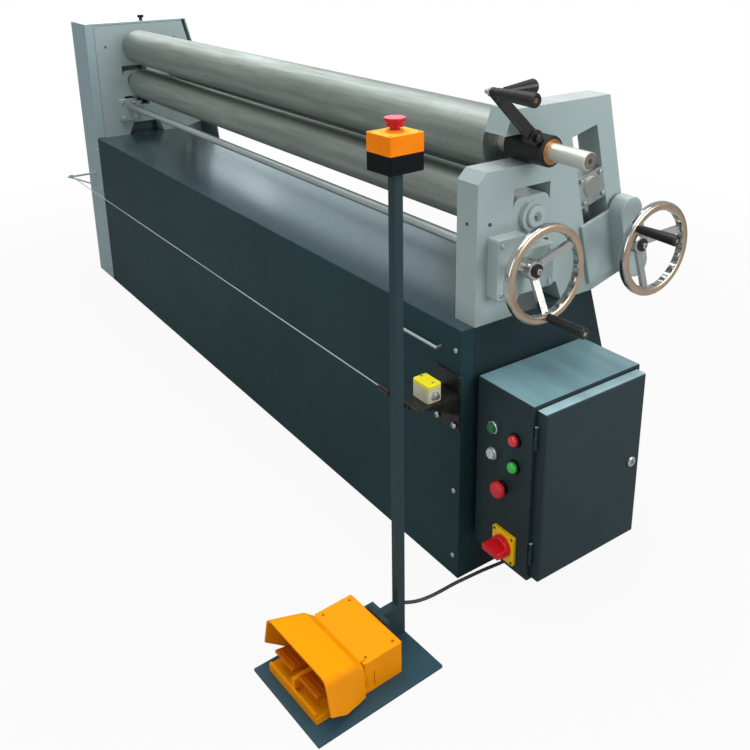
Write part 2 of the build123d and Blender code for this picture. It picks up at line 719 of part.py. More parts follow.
def top_roll():
    ball_half = PIVOT_BALL_WIDTH / 2
    ball_in = HEAD_MID + ball_half + END_CLEAR
    ball_out = HEAD_MID - ball_half - END_CLEAR
    sleeve_in = TAIL_X - SLEEVE_INSET - END_CLEAR
    body = rod_x(ROLL_HEAD, ROLL_TAIL, ROLL_Y, TOP_ROLL_Z, TOP_ROLL_R)
    body = chamfer(body.edges().filter_by(GeomType.CIRCLE), ROLL_CHAMFER)
    head_collar = rod_x(ball_in, ROLL_HEAD, ROLL_Y, TOP_ROLL_Z, PIVOT_JOURNAL_R + COLLAR_STEP)
    shoulder_x = HEAD_X + PIVOT_SHOULDER_GAP
    shoulder = rod_x(shoulder_x, ROLL_HEAD, ROLL_Y, TOP_ROLL_Z, PIVOT_SHOULDER_R)
    head_journal = rod_x(ball_out, ball_in, ROLL_Y, TOP_ROLL_Z, PIVOT_JOURNAL_R)
    nut = rod_x(ball_out - PIVOT_NUT_WIDTH, ball_out, ROLL_Y, TOP_ROLL_Z, PIVOT_NUT_R)
    tail_collar = rod_x(ROLL_TAIL, sleeve_in, ROLL_Y, TOP_ROLL_Z, TAIL_JOURNAL_R + COLLAR_STEP)
    end = TAIL_X + TAIL_JOURNAL_PROUD
    spigot_x = TAIL_X + SLEEVE_PROUD + BUSH_PROUD + SPIGOT_GAP
    tail_journal = rod_x(sleeve_in, spigot_x, ROLL_Y, TOP_ROLL_Z, TAIL_JOURNAL_R)
    spigot = rod_x(spigot_x, end, ROLL_Y, TOP_ROLL_Z, SPIGOT_R)
    spigot = chamfer(spigot.edges().group_by(Axis.X)[-1], ROLL_CHAMFER)
    centre = rod_x(end - CENTRE_HOLE_DEPTH, end + PAST, ROLL_Y, TOP_ROLL_Z, CENTRE_HOLE_R)
    return body + [head_collar, shoulder, head_journal, nut, tail_collar, tail_journal, spigot] - centre


def top_pivot_bearing():
    half = PIVOT_BALL_WIDTH / 2
    left = ball_edge(PIVOT_BALL_R, HEAD_MID - half)
    right = ball_edge(PIVOT_BALL_R, HEAD_MID + half)
    bore = PIVOT_JOURNAL_R + RUN_CLEAR
    crown = ThreePointArc(left, (HEAD_MID, PIVOT_BALL_R), right)
    return turned(crown + Polyline(right, (right[0], bore), (left[0], bore), left))


def top_sleeve():
    x0 = TAIL_X - SLEEVE_INSET
    x1 = TAIL_X + SLEEVE_PROUD
    tube = rod_x(x0, x1, ROLL_Y, TOP_ROLL_Z, SLEEVE_R)
    tube = chamfer(tube.edges().group_by(Axis.X)[-1], COLLAR_STEP / 2)
    return tube - rod_x(x0 - PAST, x1 + PAST, ROLL_Y, TOP_ROLL_Z, BUSH_R + SEAT_CLEAR)


def top_bush():
    x0 = TAIL_X - SLEEVE_INSET
    x1 = TAIL_X + SLEEVE_PROUD + BUSH_PROUD
    tube = rod_x(x0, x1, ROLL_Y, TOP_ROLL_Z, BUSH_R)
    return tube - rod_x(x0 - PAST, x1 + PAST, ROLL_Y, TOP_ROLL_Z, TAIL_JOURNAL_R + RUN_CLEAR)


LEVER_X0 = TAIL_X + LEVER_PROUD
LEVER_X1 = LEVER_X0 + LEVER_THICK
LEVER_MID = (LEVER_X0 + LEVER_X1) / 2
LEVER_DIR = (math.cos(math.radians(LEVER_ANGLE)), math.sin(math.radians(LEVER_ANGLE)))
LEVER_TIP_Y = ROLL_Y + LEVER_LENGTH * LEVER_DIR[0]
LEVER_TIP_Z = TOP_ROLL_Z + LEVER_LENGTH * LEVER_DIR[1]
RISE = math.radians(TAPER_GRIP_RISE)
TAPER_DIR = (0, math.cos(RISE), math.sin(RISE))
TAPER_PLANE = Plane(origin=(LEVER_MID, LEVER_TIP_Y, LEVER_TIP_Z), z_dir=TAPER_DIR)


def lever_point(along, across):
    y = ROLL_Y + along * LEVER_DIR[0] - across * LEVER_DIR[1]
    z = TOP_ROLL_Z + along * LEVER_DIR[1] + across * LEVER_DIR[0]
    return y, z


def release_lever():
    root = LEVER_ROOT_WIDTH / 2
    tip = LEVER_TIP_WIDTH / 2
    corners = [lever_point(SLEEVE_R - root, -root), lever_point(LEVER_LENGTH, -tip)]
    corners += [lever_point(LEVER_LENGTH, tip), lever_point(SLEEVE_R - root, root)]
    arm = slab_x(corners, LEVER_X0, LEVER_X1)
    round_tip = rod_x(LEVER_X0, LEVER_X1, LEVER_TIP_Y, LEVER_TIP_Z, tip)
    boss_y, boss_z = lever_point(SLEEVE_R + LEVER_BOSS_OUT, 0)
    boss = rod_x(LEVER_X0 - COLLAR_STEP, LEVER_X1 + COLLAR_STEP, boss_y, boss_z, LEVER_BOSS_R)
    seat = rod_x(TAIL_X, LEVER_X1 + LEVER_THICK, ROLL_Y, TOP_ROLL_Z, SLEEVE_R + SEAT_CLEAR)
    aligned = (Align.CENTER, Align.CENTER, Align.MIN)
    stud = TAPER_PLANE * Cylinder(LEVER_STUD_R, TAPER_GRIP_START, align=aligned)
    return arm + [round_tip, boss, stud] - seat


def lever_grips():
    aligned = (Align.CENTER, Align.CENTER, Align.MIN)
    along = Plane(origin=(LEVER_X1, LEVER_TIP_Y, LEVER_TIP_Z), z_dir=(1, 0, 0))
    long_grip = Cone(LONG_GRIP_ROOT_R, LONG_GRIP_R, LONG_GRIP_LENGTH, align=aligned)
    long_grip = fillet(long_grip.edges().filter_by(GeomType.CIRCLE), LONG_GRIP_R / 4)
    dimple = Cylinder(CENTRE_HOLE_R, CENTRE_HOLE_DEPTH, align=aligned)
    long_grip -= Pos(0, 0, LONG_GRIP_LENGTH - CENTRE_HOLE_DEPTH / 4) * dimple
    taper = Cone(TAPER_GRIP_SMALL_R, TAPER_GRIP_LARGE_R, TAPER_GRIP_LENGTH, align=aligned)
    taper = fillet(taper.edges().filter_by(GeomType.CIRCLE).sort_by(Axis.Z)[-1], TAPER_GRIP_SMALL_R / 2)
    return along * long_grip + TAPER_PLANE * Pos(0, 0, TAPER_GRIP_START) * taper


# Lower roll: driven, in two bearing blocks that climb on jack spindles in the vertical windows

def lower_roll():
    body = rod_x(ROLL_HEAD, ROLL_TAIL, ROLL_Y, LOWER_ROLL_Z, LOWER_ROLL_R)
    body = chamfer(body.edges().filter_by(GeomType.CIRCLE), ROLL_CHAMFER)
    collar_r = JOURNAL_R + COLLAR_STEP
    head_collar = rod_x(HEAD_X + END_CLEAR, ROLL_HEAD, ROLL_Y, LOWER_ROLL_Z, collar_r)
    tail_collar = rod_x(ROLL_TAIL, TAIL_IN - END_CLEAR, ROLL_Y, LOWER_ROLL_Z, collar_r)
    head_end = HEAD_OUT - GEARBOX_GAP - GEARBOX_WIDTH - JOURNAL_PAST
    head_journal = rod_x(head_end, HEAD_X + END_CLEAR, ROLL_Y, LOWER_ROLL_Z, JOURNAL_R)
    tail_end = TAIL_X + BOSS_PROUD + END_CLEAR
    tail_journal = rod_x(TAIL_IN - END_CLEAR, tail_end, ROLL_Y, LOWER_ROLL_Z, JOURNAL_R)
    return body + [head_collar, tail_collar, head_journal, tail_journal]


def lower_end_cap():
    x0 = TAIL_X + BOSS_PROUD + END_CLEAR
    x1 = x0 + CAP_THICK
    disc = rod_x(x0, x1, ROLL_Y, LOWER_ROLL_Z, CAP_R)
    disc = chamfer(disc.edges().group_by(Axis.X)[-1], CAP_THICK / 4)
    across = Plane(origin=(x1, ROLL_Y, LOWER_ROLL_Z), z_dir=(1, 0, 0))
    head = extrude(across * RegularPolygon(CAP_BOLT_R, 6), amount=CAP_BOLT_HEIGHT)
    return disc + head


def lower_block(x0, x1):
    half = LOWER_BLOCK_WIDTH / 2 - SLIDE_CLEAR
    bottom = LOWER_ROLL_Z - LOWER_BLOCK_BELOW
    middle = (x0 + x1) / 2
    block = box(x0, x1, ROLL_Y - half, ROLL_Y + half, bottom, LOWER_ROLL_Z + LOWER_BLOCK_ABOVE)
    block = fillet(block.edges().filter_by(Axis.X).group_by(Axis.Z)[-1], LOWER_BLOCK_ABOVE / 2)
    foot = FRONT_SHAFT_Z - NUT_HEIGHT / 2 - LIFT_UP - SPINDLE_ENGAGE
    return block + rod_z(foot, bottom, middle, ROLL_Y, SPINDLE_R)


def lower_blocks():
    boss = rod_x(TAIL_X, TAIL_X + BOSS_PROUD, ROLL_Y, LOWER_ROLL_Z, BOSS_R)
    tail = lower_block(TAIL_IN, TAIL_X) + boss
    tail -= rod_x(TAIL_IN - PAST, TAIL_X, ROLL_Y, LOWER_ROLL_Z, LOWER_BUSH_R + SEAT_CLEAR)
    tail -= rod_x(TAIL_X - PAST, TAIL_X + BOSS_PROUD + PAST, ROLL_Y, LOWER_ROLL_Z, JOURNAL_R + RUN_CLEAR)
    head = lower_block(HEAD_OUT, HEAD_X)
    head -= rod_x(HEAD_OUT - PAST, HEAD_X + PAST, ROLL_Y, LOWER_ROLL_Z, LOWER_BUSH_R + SEAT_CLEAR)
    return tail + head


def lower_bushes():
    pair = []
    for x0, x1 in ((TAIL_IN, TAIL_X), (HEAD_OUT, HEAD_X)):
        tube = rod_x(x0, x1, ROLL_Y, LOWER_ROLL_Z, LOWER_BUSH_R)
        pair.append(tube - rod_x(x0 - PAST, x1 + PAST, ROLL_Y, LOWER_ROLL_Z, JOURNAL_R + RUN_CLEAR))
    return pair[0] + pair[1]


# Jack gearing: worms on the cross shafts turn toothed nuts, which lift the spindles

def worm_nut():
    wheel = Cylinder(NUT_R, NUT_HEIGHT) - Cylinder(SPINDLE_R + THREAD_CLEAR, NUT_HEIGHT + 2)
    gash = Pos(NUT_R, 0, 0) * Box(TOOTH_GASH * 2, TOOTH_GASH, NUT_HEIGHT + 2)
    return wheel - [Rot(0, 0, 360 / NUT_TEETH * tooth) * gash for tooth in range(NUT_TEETH)]


def lower_nut(x):
    return Pos(x, ROLL_Y, FRONT_SHAFT_Z) * worm_nut()


def rear_nut(x):
    y, z = oblique(REAR_SHAFT_DOWN, 0)
    return Plane(origin=(x, y, z), z_dir=(0, LEAN_SIN, -LEAN_COS)) * worm_nut()


def worm(x, y, z, radius):
    thread = rod_x(x - WORM_LENGTH / 2, x + WORM_LENGTH / 2, y, z, radius)
    pitch = WORM_LENGTH / (WORM_GROOVES + 1)
    half = WORM_GROOVE_WIDTH / 2
    for groove in range(WORM_GROOVES):
        middle = x - WORM_LENGTH / 2 + pitch * (groove + 1)
        ring = rod_x(middle - half, middle + half, y, z, radius + PAST)
        ring -= rod_x(middle - half, middle + half, y, z, radius - WORM_GROOVE_DEPTH)
        thread -= ring
    return thread


def cross_shaft(y, z, worm_r, end):
    start = HEAD_MID - WORM_LENGTH / 2
    bar = rod_x(start, end, y, z, SHAFT_R)
    return bar + [worm(HEAD_MID, y, z, worm_r), worm(TAIL_MID, y, z, worm_r)]


def front_shaft():
    return cross_shaft(FRONT_SHAFT_Y, FRONT_SHAFT_Z, WORM_R, TAIL_X + FRONT_WHEEL_PROUD - FRONT_DISH)


def rear_shaft():
    return cross_shaft(REAR_SHAFT_Y, REAR_SHAFT_Z, REAR_WORM_R, TAIL_X + REAR_WHEEL_PROUD - REAR_DISH)


COVER_SCREWS = [
    (FRONT_Y + COVER_FRONT + COVER_SCREW_INSET, COVER_TOP - COVER_SCREW_INSET),
    (FRONT_Y + COVER_FRONT + COVER_SCREW_INSET, COVER_BOTTOM + COVER_SCREW_INSET),
    (FRONT_Y + COVER_REAR - COVER_SCREW_INSET, COVER_BOTTOM + COVER_SCREW_INSET),
    (FRONT_Y + COVER_REAR - COVER_SCREW_INSET, COVER_LOW_TOP - COVER_SCREW_INSET),
]


def front_worm_cover():
    front = FRONT_Y + COVER_FRONT
    step = FRONT_Y + COVER_STEP
    rear = FRONT_Y + COVER_REAR
    points = [(front, COVER_BOTTOM), (front, COVER_TOP), (step, COVER_TOP), (step, COVER_LOW_TOP)]
    points += [(rear, COVER_LOW_TOP), (rear, COVER_BOTTOM)]
    x1 = TAIL_X + COVER_DEPTH
    cover = slab_x(points, TAIL_X, x1)
    cover = fillet(cover.edges().filter_by(Axis.X), COVER_FILLET)
    cover = fillet(cover.faces().sort_by(Axis.X)[-1].edges(), COVER_FILLET / 2)
    bore = rod_x(TAIL_X - PAST, x1 + PAST, FRONT_SHAFT_Y, FRONT_SHAFT_Z, SHAFT_R + RUN_CLEAR)
    return cover - bore


def rear_worm_housing():
    apron = slab_oblique(APRON_UP, APRON_DOWN, -APRON_FRONT, APRON_REAR, TAIL_X, TAIL_X + APRON_THICK)
    x0 = TAIL_X + APRON_THICK
    x1 = x0 + HOUSING_DEPTH
    upper = oblique(HOUSING_UP + HOUSING_R, HOUSING_BACK)
    lower = oblique(HOUSING_DOWN - HOUSING_R, HOUSING_BACK)
    back0 = HOUSING_BACK - HOUSING_R
    back1 = HOUSING_BACK + HOUSING_R
    trunk = slab_oblique(HOUSING_UP + HOUSING_R, HOUSING_DOWN - HOUSING_R, back0, back1, x0, x1)
    ends = [rod_x(x0, x1, point[0], point[1], HOUSING_R) for point in (upper, lower)]
    block = trunk + ends
    block = fillet(block.faces().sort_by(Axis.X)[-1].edges(), COVER_FILLET / 2)
    bore = rod_x(TAIL_X - PAST, x1 + PAST, REAR_SHAFT_Y, REAR_SHAFT_Z, SHAFT_R + RUN_CLEAR)
    return apron + block - bore


def head_shaft_brackets():
    pair = []
    for y, z in ((FRONT_SHAFT_Y, FRONT_SHAFT_Z), (REAR_SHAFT_Y, REAR_SHAFT_Z)):
        half_width = BRACKET_WIDTH / 2
        x1 = HEAD_X + BRACKET_DEPTH
        block = box(HEAD_X, x1, y - half_width, y + half_width, z - BRACKET_BELOW, z + BRACKET_ABOVE)
        block = fillet(block.edges().filter_by(Axis.X), BRACKET_FILLET)
        pair.append(block - rod_x(HEAD_X - PAST, x1 + PAST, y, z, SHAFT_R + RUN_CLEAR))
    return pair[0] + pair[1]


# Rear roll: idle, in two blocks that climb on jack spindles in the oblique windows

def rear_roll():
    body = rod_x(ROLL_HEAD, ROLL_TAIL, REAR_Y, REAR_ROLL_Z, REAR_ROLL_R)
    body = chamfer(body.edges().filter_by(GeomType.CIRCLE), ROLL_CHAMFER)
    collar_r = REAR_JOURNAL_R + COLLAR_STEP
    collars = [
        rod_x(HEAD_X + END_CLEAR, ROLL_HEAD, REAR_Y, REAR_ROLL_Z, collar_r),
        rod_x(ROLL_TAIL, TAIL_IN - END_CLEAR, REAR_Y, REAR_ROLL_Z, collar_r),
    ]
    axle = rod_x(HEAD_OUT - COLLAR_STEP, TAIL_X + COLLAR_STEP, REAR_Y, REAR_ROLL_Z, REAR_JOURNAL_R)
    return body + collars + axle


def rear_block(x0, x1):
    half = REAR_BLOCK_WIDTH / 2 - SLIDE_CLEAR
    block = slab_oblique(-REAR_BLOCK_ABOVE, REAR_BLOCK_BELOW, -half, half, x0, x1)
    foot = REAR_SHAFT_DOWN + NUT_HEIGHT / 2 + BEND_UP + SPINDLE_ENGAGE
    block += rod_oblique(REAR_BLOCK_BELOW, foot, (x0 + x1) / 2, SPINDLE_R)
    return block - rod_x(x0 - PAST, x1 + PAST, REAR_Y, REAR_ROLL_Z, REAR_JOURNAL_R + RUN_CLEAR)


def rear_blocks():
    return rear_block(TAIL_IN, TAIL_X) + rear_block(HEAD_OUT, HEAD_X)


# Handwheels: dished, three spokes, a rim with finger waves and a turning grip

def handwheel(y, z, proud, grip_angle, dish):
    rim_x = TAIL_X + proud
    ring_r = WHEEL_R - RIM_R
    across = Plane(origin=(rim_x, y, z), x_dir=(0, 1, 0), z_dir=(1, 0, 0))
    section = Plane.XZ * Pos(ring_r, 0) * RectangleRounded(RIM_R * 2, RIM_R * 2, RIM_ROUND)
    rim = revolve(section, Axis.Z)
    wave_r = ring_r - RIM_R - WAVE_R + WAVE_DEPTH
    wave = Pos(wave_r, 0, 0) * Cylinder(WAVE_R, RIM_R * 3)
    pitch = 360 / WAVE_COUNT
    rim -= [Rot(0, 0, pitch * (number + 0.5)) * wave for number in range(WAVE_COUNT)]
    hub = Pos(0, 0, -dish - HUB_LENGTH / 2) * Cylinder(HUB_R, HUB_LENGTH)
    hub = chamfer(hub.edges().filter_by(GeomType.CIRCLE), HUB_R / 8)
    half = SPOKE_THICK / 2
    hub_level = -dish - HUB_LENGTH / 2
    profile = [(0, hub_level - half), (0, hub_level + half), (ring_r, half), (ring_r, -half)]
    spoke = slab_y(profile, -SPOKE_WIDTH / 2, SPOKE_WIDTH / 2)
    turns = [grip_angle + 360 / SPOKE_COUNT * number for number in range(SPOKE_COUNT)]
    wheel = rim + [hub] + [Rot(0, 0, turn) * spoke for turn in turns]
    angle = math.radians(grip_angle)
    seat = Pos(GRIP_RADIUS * math.cos(angle), GRIP_RADIUS * math.sin(angle), 0)
    stud_length = RIM_R + GRIP_GAP + GRIP_LENGTH
    aligned = (Align.CENTER, Align.CENTER, Align.MIN)
    stud = seat * Cylinder(GRIP_SPINDLE_R, stud_length, align=aligned)
    pad = seat * Cylinder(GRIP_ROOT_R, RIM_R + GRIP_GAP / 2, align=aligned)
    bore = Pos(0, 0, -dish - HUB_LENGTH / 2) * Cylinder(SHAFT_R + SEAT_CLEAR, HUB_LENGTH + 2)
    return across * (wheel + [stud, pad] - bore)


def wheel_grip(y, z, proud, grip_angle, _):
    angle = math.radians(grip_angle)
    grip_y = y + GRIP_RADIUS * math.cos(angle)
    grip_z = z + GRIP_RADIUS * math.sin(angle)
    start = TAIL_X + proud + RIM_R + GRIP_GAP
    along = Plane(origin=(start, grip_y, grip_z), z_dir=(1, 0, 0))
    aligned = (Align.CENTER, Align.CENTER, Align.MIN)
    grip = Cone(GRIP_ROOT_R, GRIP_END_R, GRIP_LENGTH, align=aligned)
    grip = fillet(grip.edges().filter_by(GeomType.CIRCLE), GRIP_FILLET)
    bore = Cylinder(GRIP_SPINDLE_R + RUN_CLEAR, GRIP_LENGTH * 2)
    return along * (grip - bore)


FRONT_WHEEL = (FRONT_SHAFT_Y, FRONT_SHAFT_Z, FRONT_WHEEL_PROUD, FRONT_GRIP_ANGLE, FRONT_DISH)
REAR_WHEEL = (REAR_SHAFT_Y, REAR_SHAFT_Z, REAR_WHEEL_PROUD, REAR_GRIP_ANGLE, REAR_DISH)


# Drive: a flat gearbox rides on the lower roll's journal, its motor reaches into the base

GEARBOX_X1 = HEAD_OUT - GEARBOX_GAP
GEARBOX_X0 = GEARBOX_X1 - GEARBOX_WIDTH
MOTOR_END = GEARBOX_X1 + MOTOR_LENGTH
COWL_END = MOTOR_END + COWL_LENGTH


def gearbox():
    trunk = [(ROLL_Y - GEARBOX_OUT_R, LOWER_ROLL_Z), (ROLL_Y + GEARBOX_OUT_R, LOWER_ROLL_Z)]
    trunk += [(ROLL_Y + GEARBOX_IN_R, MOTOR_Z), (ROLL_Y - GEARBOX_IN_R, MOTOR_Z)]
    case = slab_x(trunk, GEARBOX_X0, GEARBOX_X1)
    case += rod_x(GEARBOX_X0, GEARBOX_X1, ROLL_Y, LOWER_ROLL_Z, GEARBOX_OUT_R)
    case += rod_x(GEARBOX_X0, GEARBOX_X1, ROLL_Y, MOTOR_Z, GEARBOX_IN_R)
    journal = rod_x(GEARBOX_X0 - PAST, GEARBOX_X1 + PAST, ROLL_Y, LOWER_ROLL_Z, JOURNAL_R + RUN_CLEAR)
    middle = (GEARBOX_X0 + GEARBOX_X1) / 2
    pinion_bore = rod_x(middle, GEARBOX_X1 + PAST, ROLL_Y, MOTOR_Z, ROTOR_SHAFT_R + RUN_CLEAR)
    return case - [journal, pinion_bore]


def drive_motor():
    flange_x = GEARBOX_X1 + MOTOR_FLANGE_THICK
    frame = rod_x(GEARBOX_X1, MOTOR_END, ROLL_Y, MOTOR_Z, MOTOR_R)
    flange = rod_x(GEARBOX_X1, flange_x, ROLL_Y, MOTOR_Z, MOTOR_FLANGE_R)
    half = FIN_THICK / 2
    fin_top = MOTOR_Z + MOTOR_R + FIN_HEIGHT
    fin = box(flange_x, MOTOR_END, ROLL_Y - half, ROLL_Y + half, MOTOR_Z, fin_top)
    axis = Axis((0, ROLL_Y, MOTOR_Z), (1, 0, 0))
    fins = [fin.rotate(axis, 360 / MOTOR_FINS * number) for number in range(MOTOR_FINS)]
    cowl = rod_x(MOTOR_END, COWL_END, ROLL_Y, MOTOR_Z, MOTOR_R)
    room = rod_x(MOTOR_END, COWL_END - COWL_WALL, ROLL_Y, MOTOR_Z, MOTOR_R - COWL_WALL)
    grille = rod_x(COWL_END - COWL_WALL - PAST, COWL_END + PAST, ROLL_Y, MOTOR_Z, FAN_R / 2)
    stator = rod_x(flange_x, MOTOR_END - SHIELD_THICK, ROLL_Y, MOTOR_Z, STATOR_R)
    shaft = rod_x(GEARBOX_X1 - PAST, MOTOR_END + PAST, ROLL_Y, MOTOR_Z, ROTOR_SHAFT_R + RUN_CLEAR)
    return frame + [flange] + fins + [cowl - room - grille] - [stator, shaft]


def motor_rotor():
    start = (GEARBOX_X0 + GEARBOX_X1) / 2 + AIR_GAP
    core_x0 = GEARBOX_X1 + MOTOR_FLANGE_THICK + AIR_GAP
    core = rod_x(core_x0, MOTOR_END - SHIELD_THICK - AIR_GAP, ROLL_Y, MOTOR_Z, STATOR_R - AIR_GAP)
    fan_x0 = (MOTOR_END + COWL_END - FAN_THICK) / 2
    shaft = rod_x(start, fan_x0 + FAN_THICK, ROLL_Y, MOTOR_Z, ROTOR_SHAFT_R)
    fan = rod_x(fan_x0, fan_x0 + FAN_THICK, ROLL_Y, MOTOR_Z, FAN_R)
    return shaft + [core, fan]


# Fixing screws: button heads on the front panel and casing, and on the front worm cover

def screw_front(x, z):
    head = rod_y(FRONT_Y - SCREW_HEAD_HEIGHT, FRONT_Y, x, z, SCREW_HEAD_R)
    head = fillet(head.edges().group_by(Axis.Y)[0], SCREW_HEAD_HEIGHT / 2)
    return head + rod_y(FRONT_Y, FRONT_Y + SCREW_LENGTH, x, z, SCREW_R)


def screw_cover(y, z):
    x0 = TAIL_X + COVER_DEPTH
    head = rod_x(x0, x0 + SCREW_HEAD_HEIGHT, y, z, SCREW_HEAD_R)
    return fillet(head.edges().group_by(Axis.X)[-1], SCREW_HEAD_HEIGHT / 2)


def fixing_screws():
    screws = [screw_front(PANEL_SCREW_X, z) for z in PANEL_LEVELS]
    screws += [screw_front(CASING_SCREW_X, z) for z in SCREW_LEVELS]
    screws += [screw_cover(y, z) for y, z in COVER_SCREWS]
    return screws[0] + screws[1:]


# Trip wire: taut along the front, it pulls a rod through the switch's bracket

WIRE_Y = FRONT_Y - WIRE_OUT
WIRE_ARM_X = HEAD_X - WIRE_ARM_INSET
TRIP_X1 = TAIL_X
TRIP_X0 = TRIP_X1 - TRIP_TAB_IN
SWITCH_X1 = TRIP_X1 - SWITCH_INSET
SHELF_Z = WIRE_Z + TRIP_TAB_DROP
SWITCH_Y = WIRE_Y + SWITCH_BACK + SWITCH_DEPTH / 2
WIRE_END = TAIL_X - WIRE_TAIL_GAP


def trip_wire():
    knob_x = WIRE_ARM_X - WIRE_EYE_WIDTH / 2 - WIRE_KNOB_LENGTH
    wire = rod_x(knob_x, WIRE_END, WIRE_Y, WIRE_Z, WIRE_R)
    return wire + rod_x(knob_x, knob_x + WIRE_KNOB_LENGTH - END_CLEAR, WIRE_Y, WIRE_Z, WIRE_KNOB_R)


def wire_fitting():
    body_end = WIRE_END + FITTING_LENGTH
    body = rod_x(WIRE_END, body_end, WIRE_Y, WIRE_Z, FITTING_R)
    body = fillet(body.edges().filter_by(GeomType.CIRCLE), FITTING_R / 3)
    nut_x = TRIP_X0 + TRIP_PLATE_THICK + WIRE_TRAVEL + END_CLEAR
    rod = rod_x(body_end, nut_x, WIRE_Y, WIRE_Z, PULL_ROD_R)
    return body + [rod, rod_x(nut_x, nut_x + PULL_NUT_LENGTH, WIRE_Y, WIRE_Z, PULL_NUT_R)]


def wire_bracket():
    tip = WIRE_Y - WIRE_ARM_PAST
    foot = rod_y(FRONT_Y - WIRE_ARM_R, FRONT_Y, WIRE_ARM_X, WIRE_Z, WIRE_ARM_R * 3)
    arm = rod_y(tip, FRONT_Y, WIRE_ARM_X, WIRE_Z, WIRE_ARM_R)
    half = WIRE_EYE_WIDTH / 2
    eye = rod_x(WIRE_ARM_X - half, WIRE_ARM_X + half, WIRE_Y, WIRE_Z, WIRE_EYE_R)
    start = Vector(WIRE_ARM_X, FRONT_Y, WIRE_Z - WIRE_BRACE_DROP)
    reach = Vector(WIRE_ARM_X, tip + WIRE_ARM_R, WIRE_Z) - start
    past = WIRE_BRACE_R * 2
    seated = Plane(origin=start - reach.normalized() * past, z_dir=reach)
    aligned = (Align.CENTER, Align.CENTER, Align.MIN)
    brace = seated * Cylinder(WIRE_BRACE_R, reach.length + past, align=aligned)
    brace -= box(WIRE_ARM_X - half, WIRE_ARM_X + half, FRONT_Y, FRONT_Y + past * 2, 0, WIRE_Z)
    cut = half + PAST
    hole = rod_x(WIRE_ARM_X - cut, WIRE_ARM_X + cut, WIRE_Y, WIRE_Z, WIRE_R + WIRE_EYE_CLEAR)
    return arm + [foot, eye, brace] - hole


def trip_bracket():
    plate_x0 = TRIP_X1 - TRIP_PLATE_WIDTH
    plate = box(plate_x0, TRIP_X1, FRONT_Y - TRIP_PLATE_THICK, FRONT_Y, TRIP_PLATE_BOTTOM, TRIP_PLATE_TOP)
    plate = fillet(plate.edges().filter_by(Axis.Y), TRIP_PLATE_THICK)
    half = TRIP_TAB_WIDTH / 2
    shelf = box(TRIP_X0, TRIP_X1, WIRE_Y - half, FRONT_Y, SHELF_Z, SHELF_Z + TRIP_SHELF_THICK)
    low = WIRE_Z - TRIP_TAB_DROP
    tab = box(TRIP_X0, TRIP_X0 + TRIP_PLATE_THICK, WIRE_Y - half, WIRE_Y + half, low, SHELF_Z)
    bracing = [(FRONT_Y, SHELF_Z), (WIRE_Y + half, SHELF_Z), (FRONT_Y, SHELF_Z - TRIP_WEB_DROP)]
    web = slab_x(bracing, TRIP_X1 - TRIP_PLATE_THICK, TRIP_X1)
    hole_r = PULL_ROD_R + WIRE_EYE_CLEAR
    hole = rod_x(TRIP_X0 - PAST, TRIP_X0 + TRIP_PLATE_THICK + PAST, WIRE_Y, WIRE_Z, hole_r)
    bolt_z = TRIP_PLATE_BOTTOM + TRIP_BOLT_UP
    bolt_x = (plate_x0 + TRIP_BOLT_IN, TRIP_X1 - TRIP_BOLT_IN)
    y1 = FRONT_Y - TRIP_PLATE_THICK
    bolts = [rod_y(y1 - SCREW_HEAD_HEIGHT, y1, x, bolt_z, SCREW_HEAD_R) for x in bolt_x]
    return plate + [shelf, tab, web] + bolts - hole


def trip_switch():
    x1 = SWITCH_X1
    z0 = SHELF_Z + TRIP_SHELF_THICK
    half = SWITCH_DEPTH / 2
    body = box(x1 - SWITCH_LENGTH, x1, SWITCH_Y - half, SWITCH_Y + half, z0, z0 + SWITCH_HEIGHT)
    return fillet(body.edges().filter_by(Axis.Z), SWITCH_FILLET)


def trip_switch_lid():
    x1 = SWITCH_X1
    z0 = SHELF_Z + TRIP_SHELF_THICK + SWITCH_HEIGHT
    half = SWITCH_DEPTH / 2
    lid = box(x1 - SWITCH_LENGTH, x1, SWITCH_Y - half, SWITCH_Y + half, z0, z0 + SWITCH_LID_HEIGHT)
    lid = fillet(lid.edges().filter_by(Axis.Z), SWITCH_FILLET)
    return fillet(lid.faces().sort_by(Axis.Z)[-1].edges(), SWITCH_FILLET / 2)


# Electric cabinet: box on standoffs, hinged door with a lock, and the controls on its front side

DOOR_X0 = CAB_FACE + DOOR_GAP
DOOR_X1 = DOOR_X0 + DOOR_DEPTH
DOOR_Y0 = CAB_Y + DOOR_MARGIN
DOOR_Y1 = CAB_Y + CAB_WIDTH - DOOR_MARGIN
DOOR_Z0 = CAB_Z + DOOR_MARGIN
DOOR_Z1 = CAB_Z + CAB_HEIGHT - DOOR_MARGIN
HINGE_X = DOOR_X0 + HINGE_R
HINGE_Y = DOOR_Y0 - HINGE_OUT
HINGE_LEVELS = (DOOR_Z0 + HINGE_INSET, DOOR_Z1 - HINGE_INSET)
LOCK_Y = FRONT_Y + LOCK_SETBACK


def control_hole(x, z, radius):
    return rod_y(CAB_Y - PAST, CAB_Y + CAB_WALL + PAST, TAIL_X + x, z, radius)


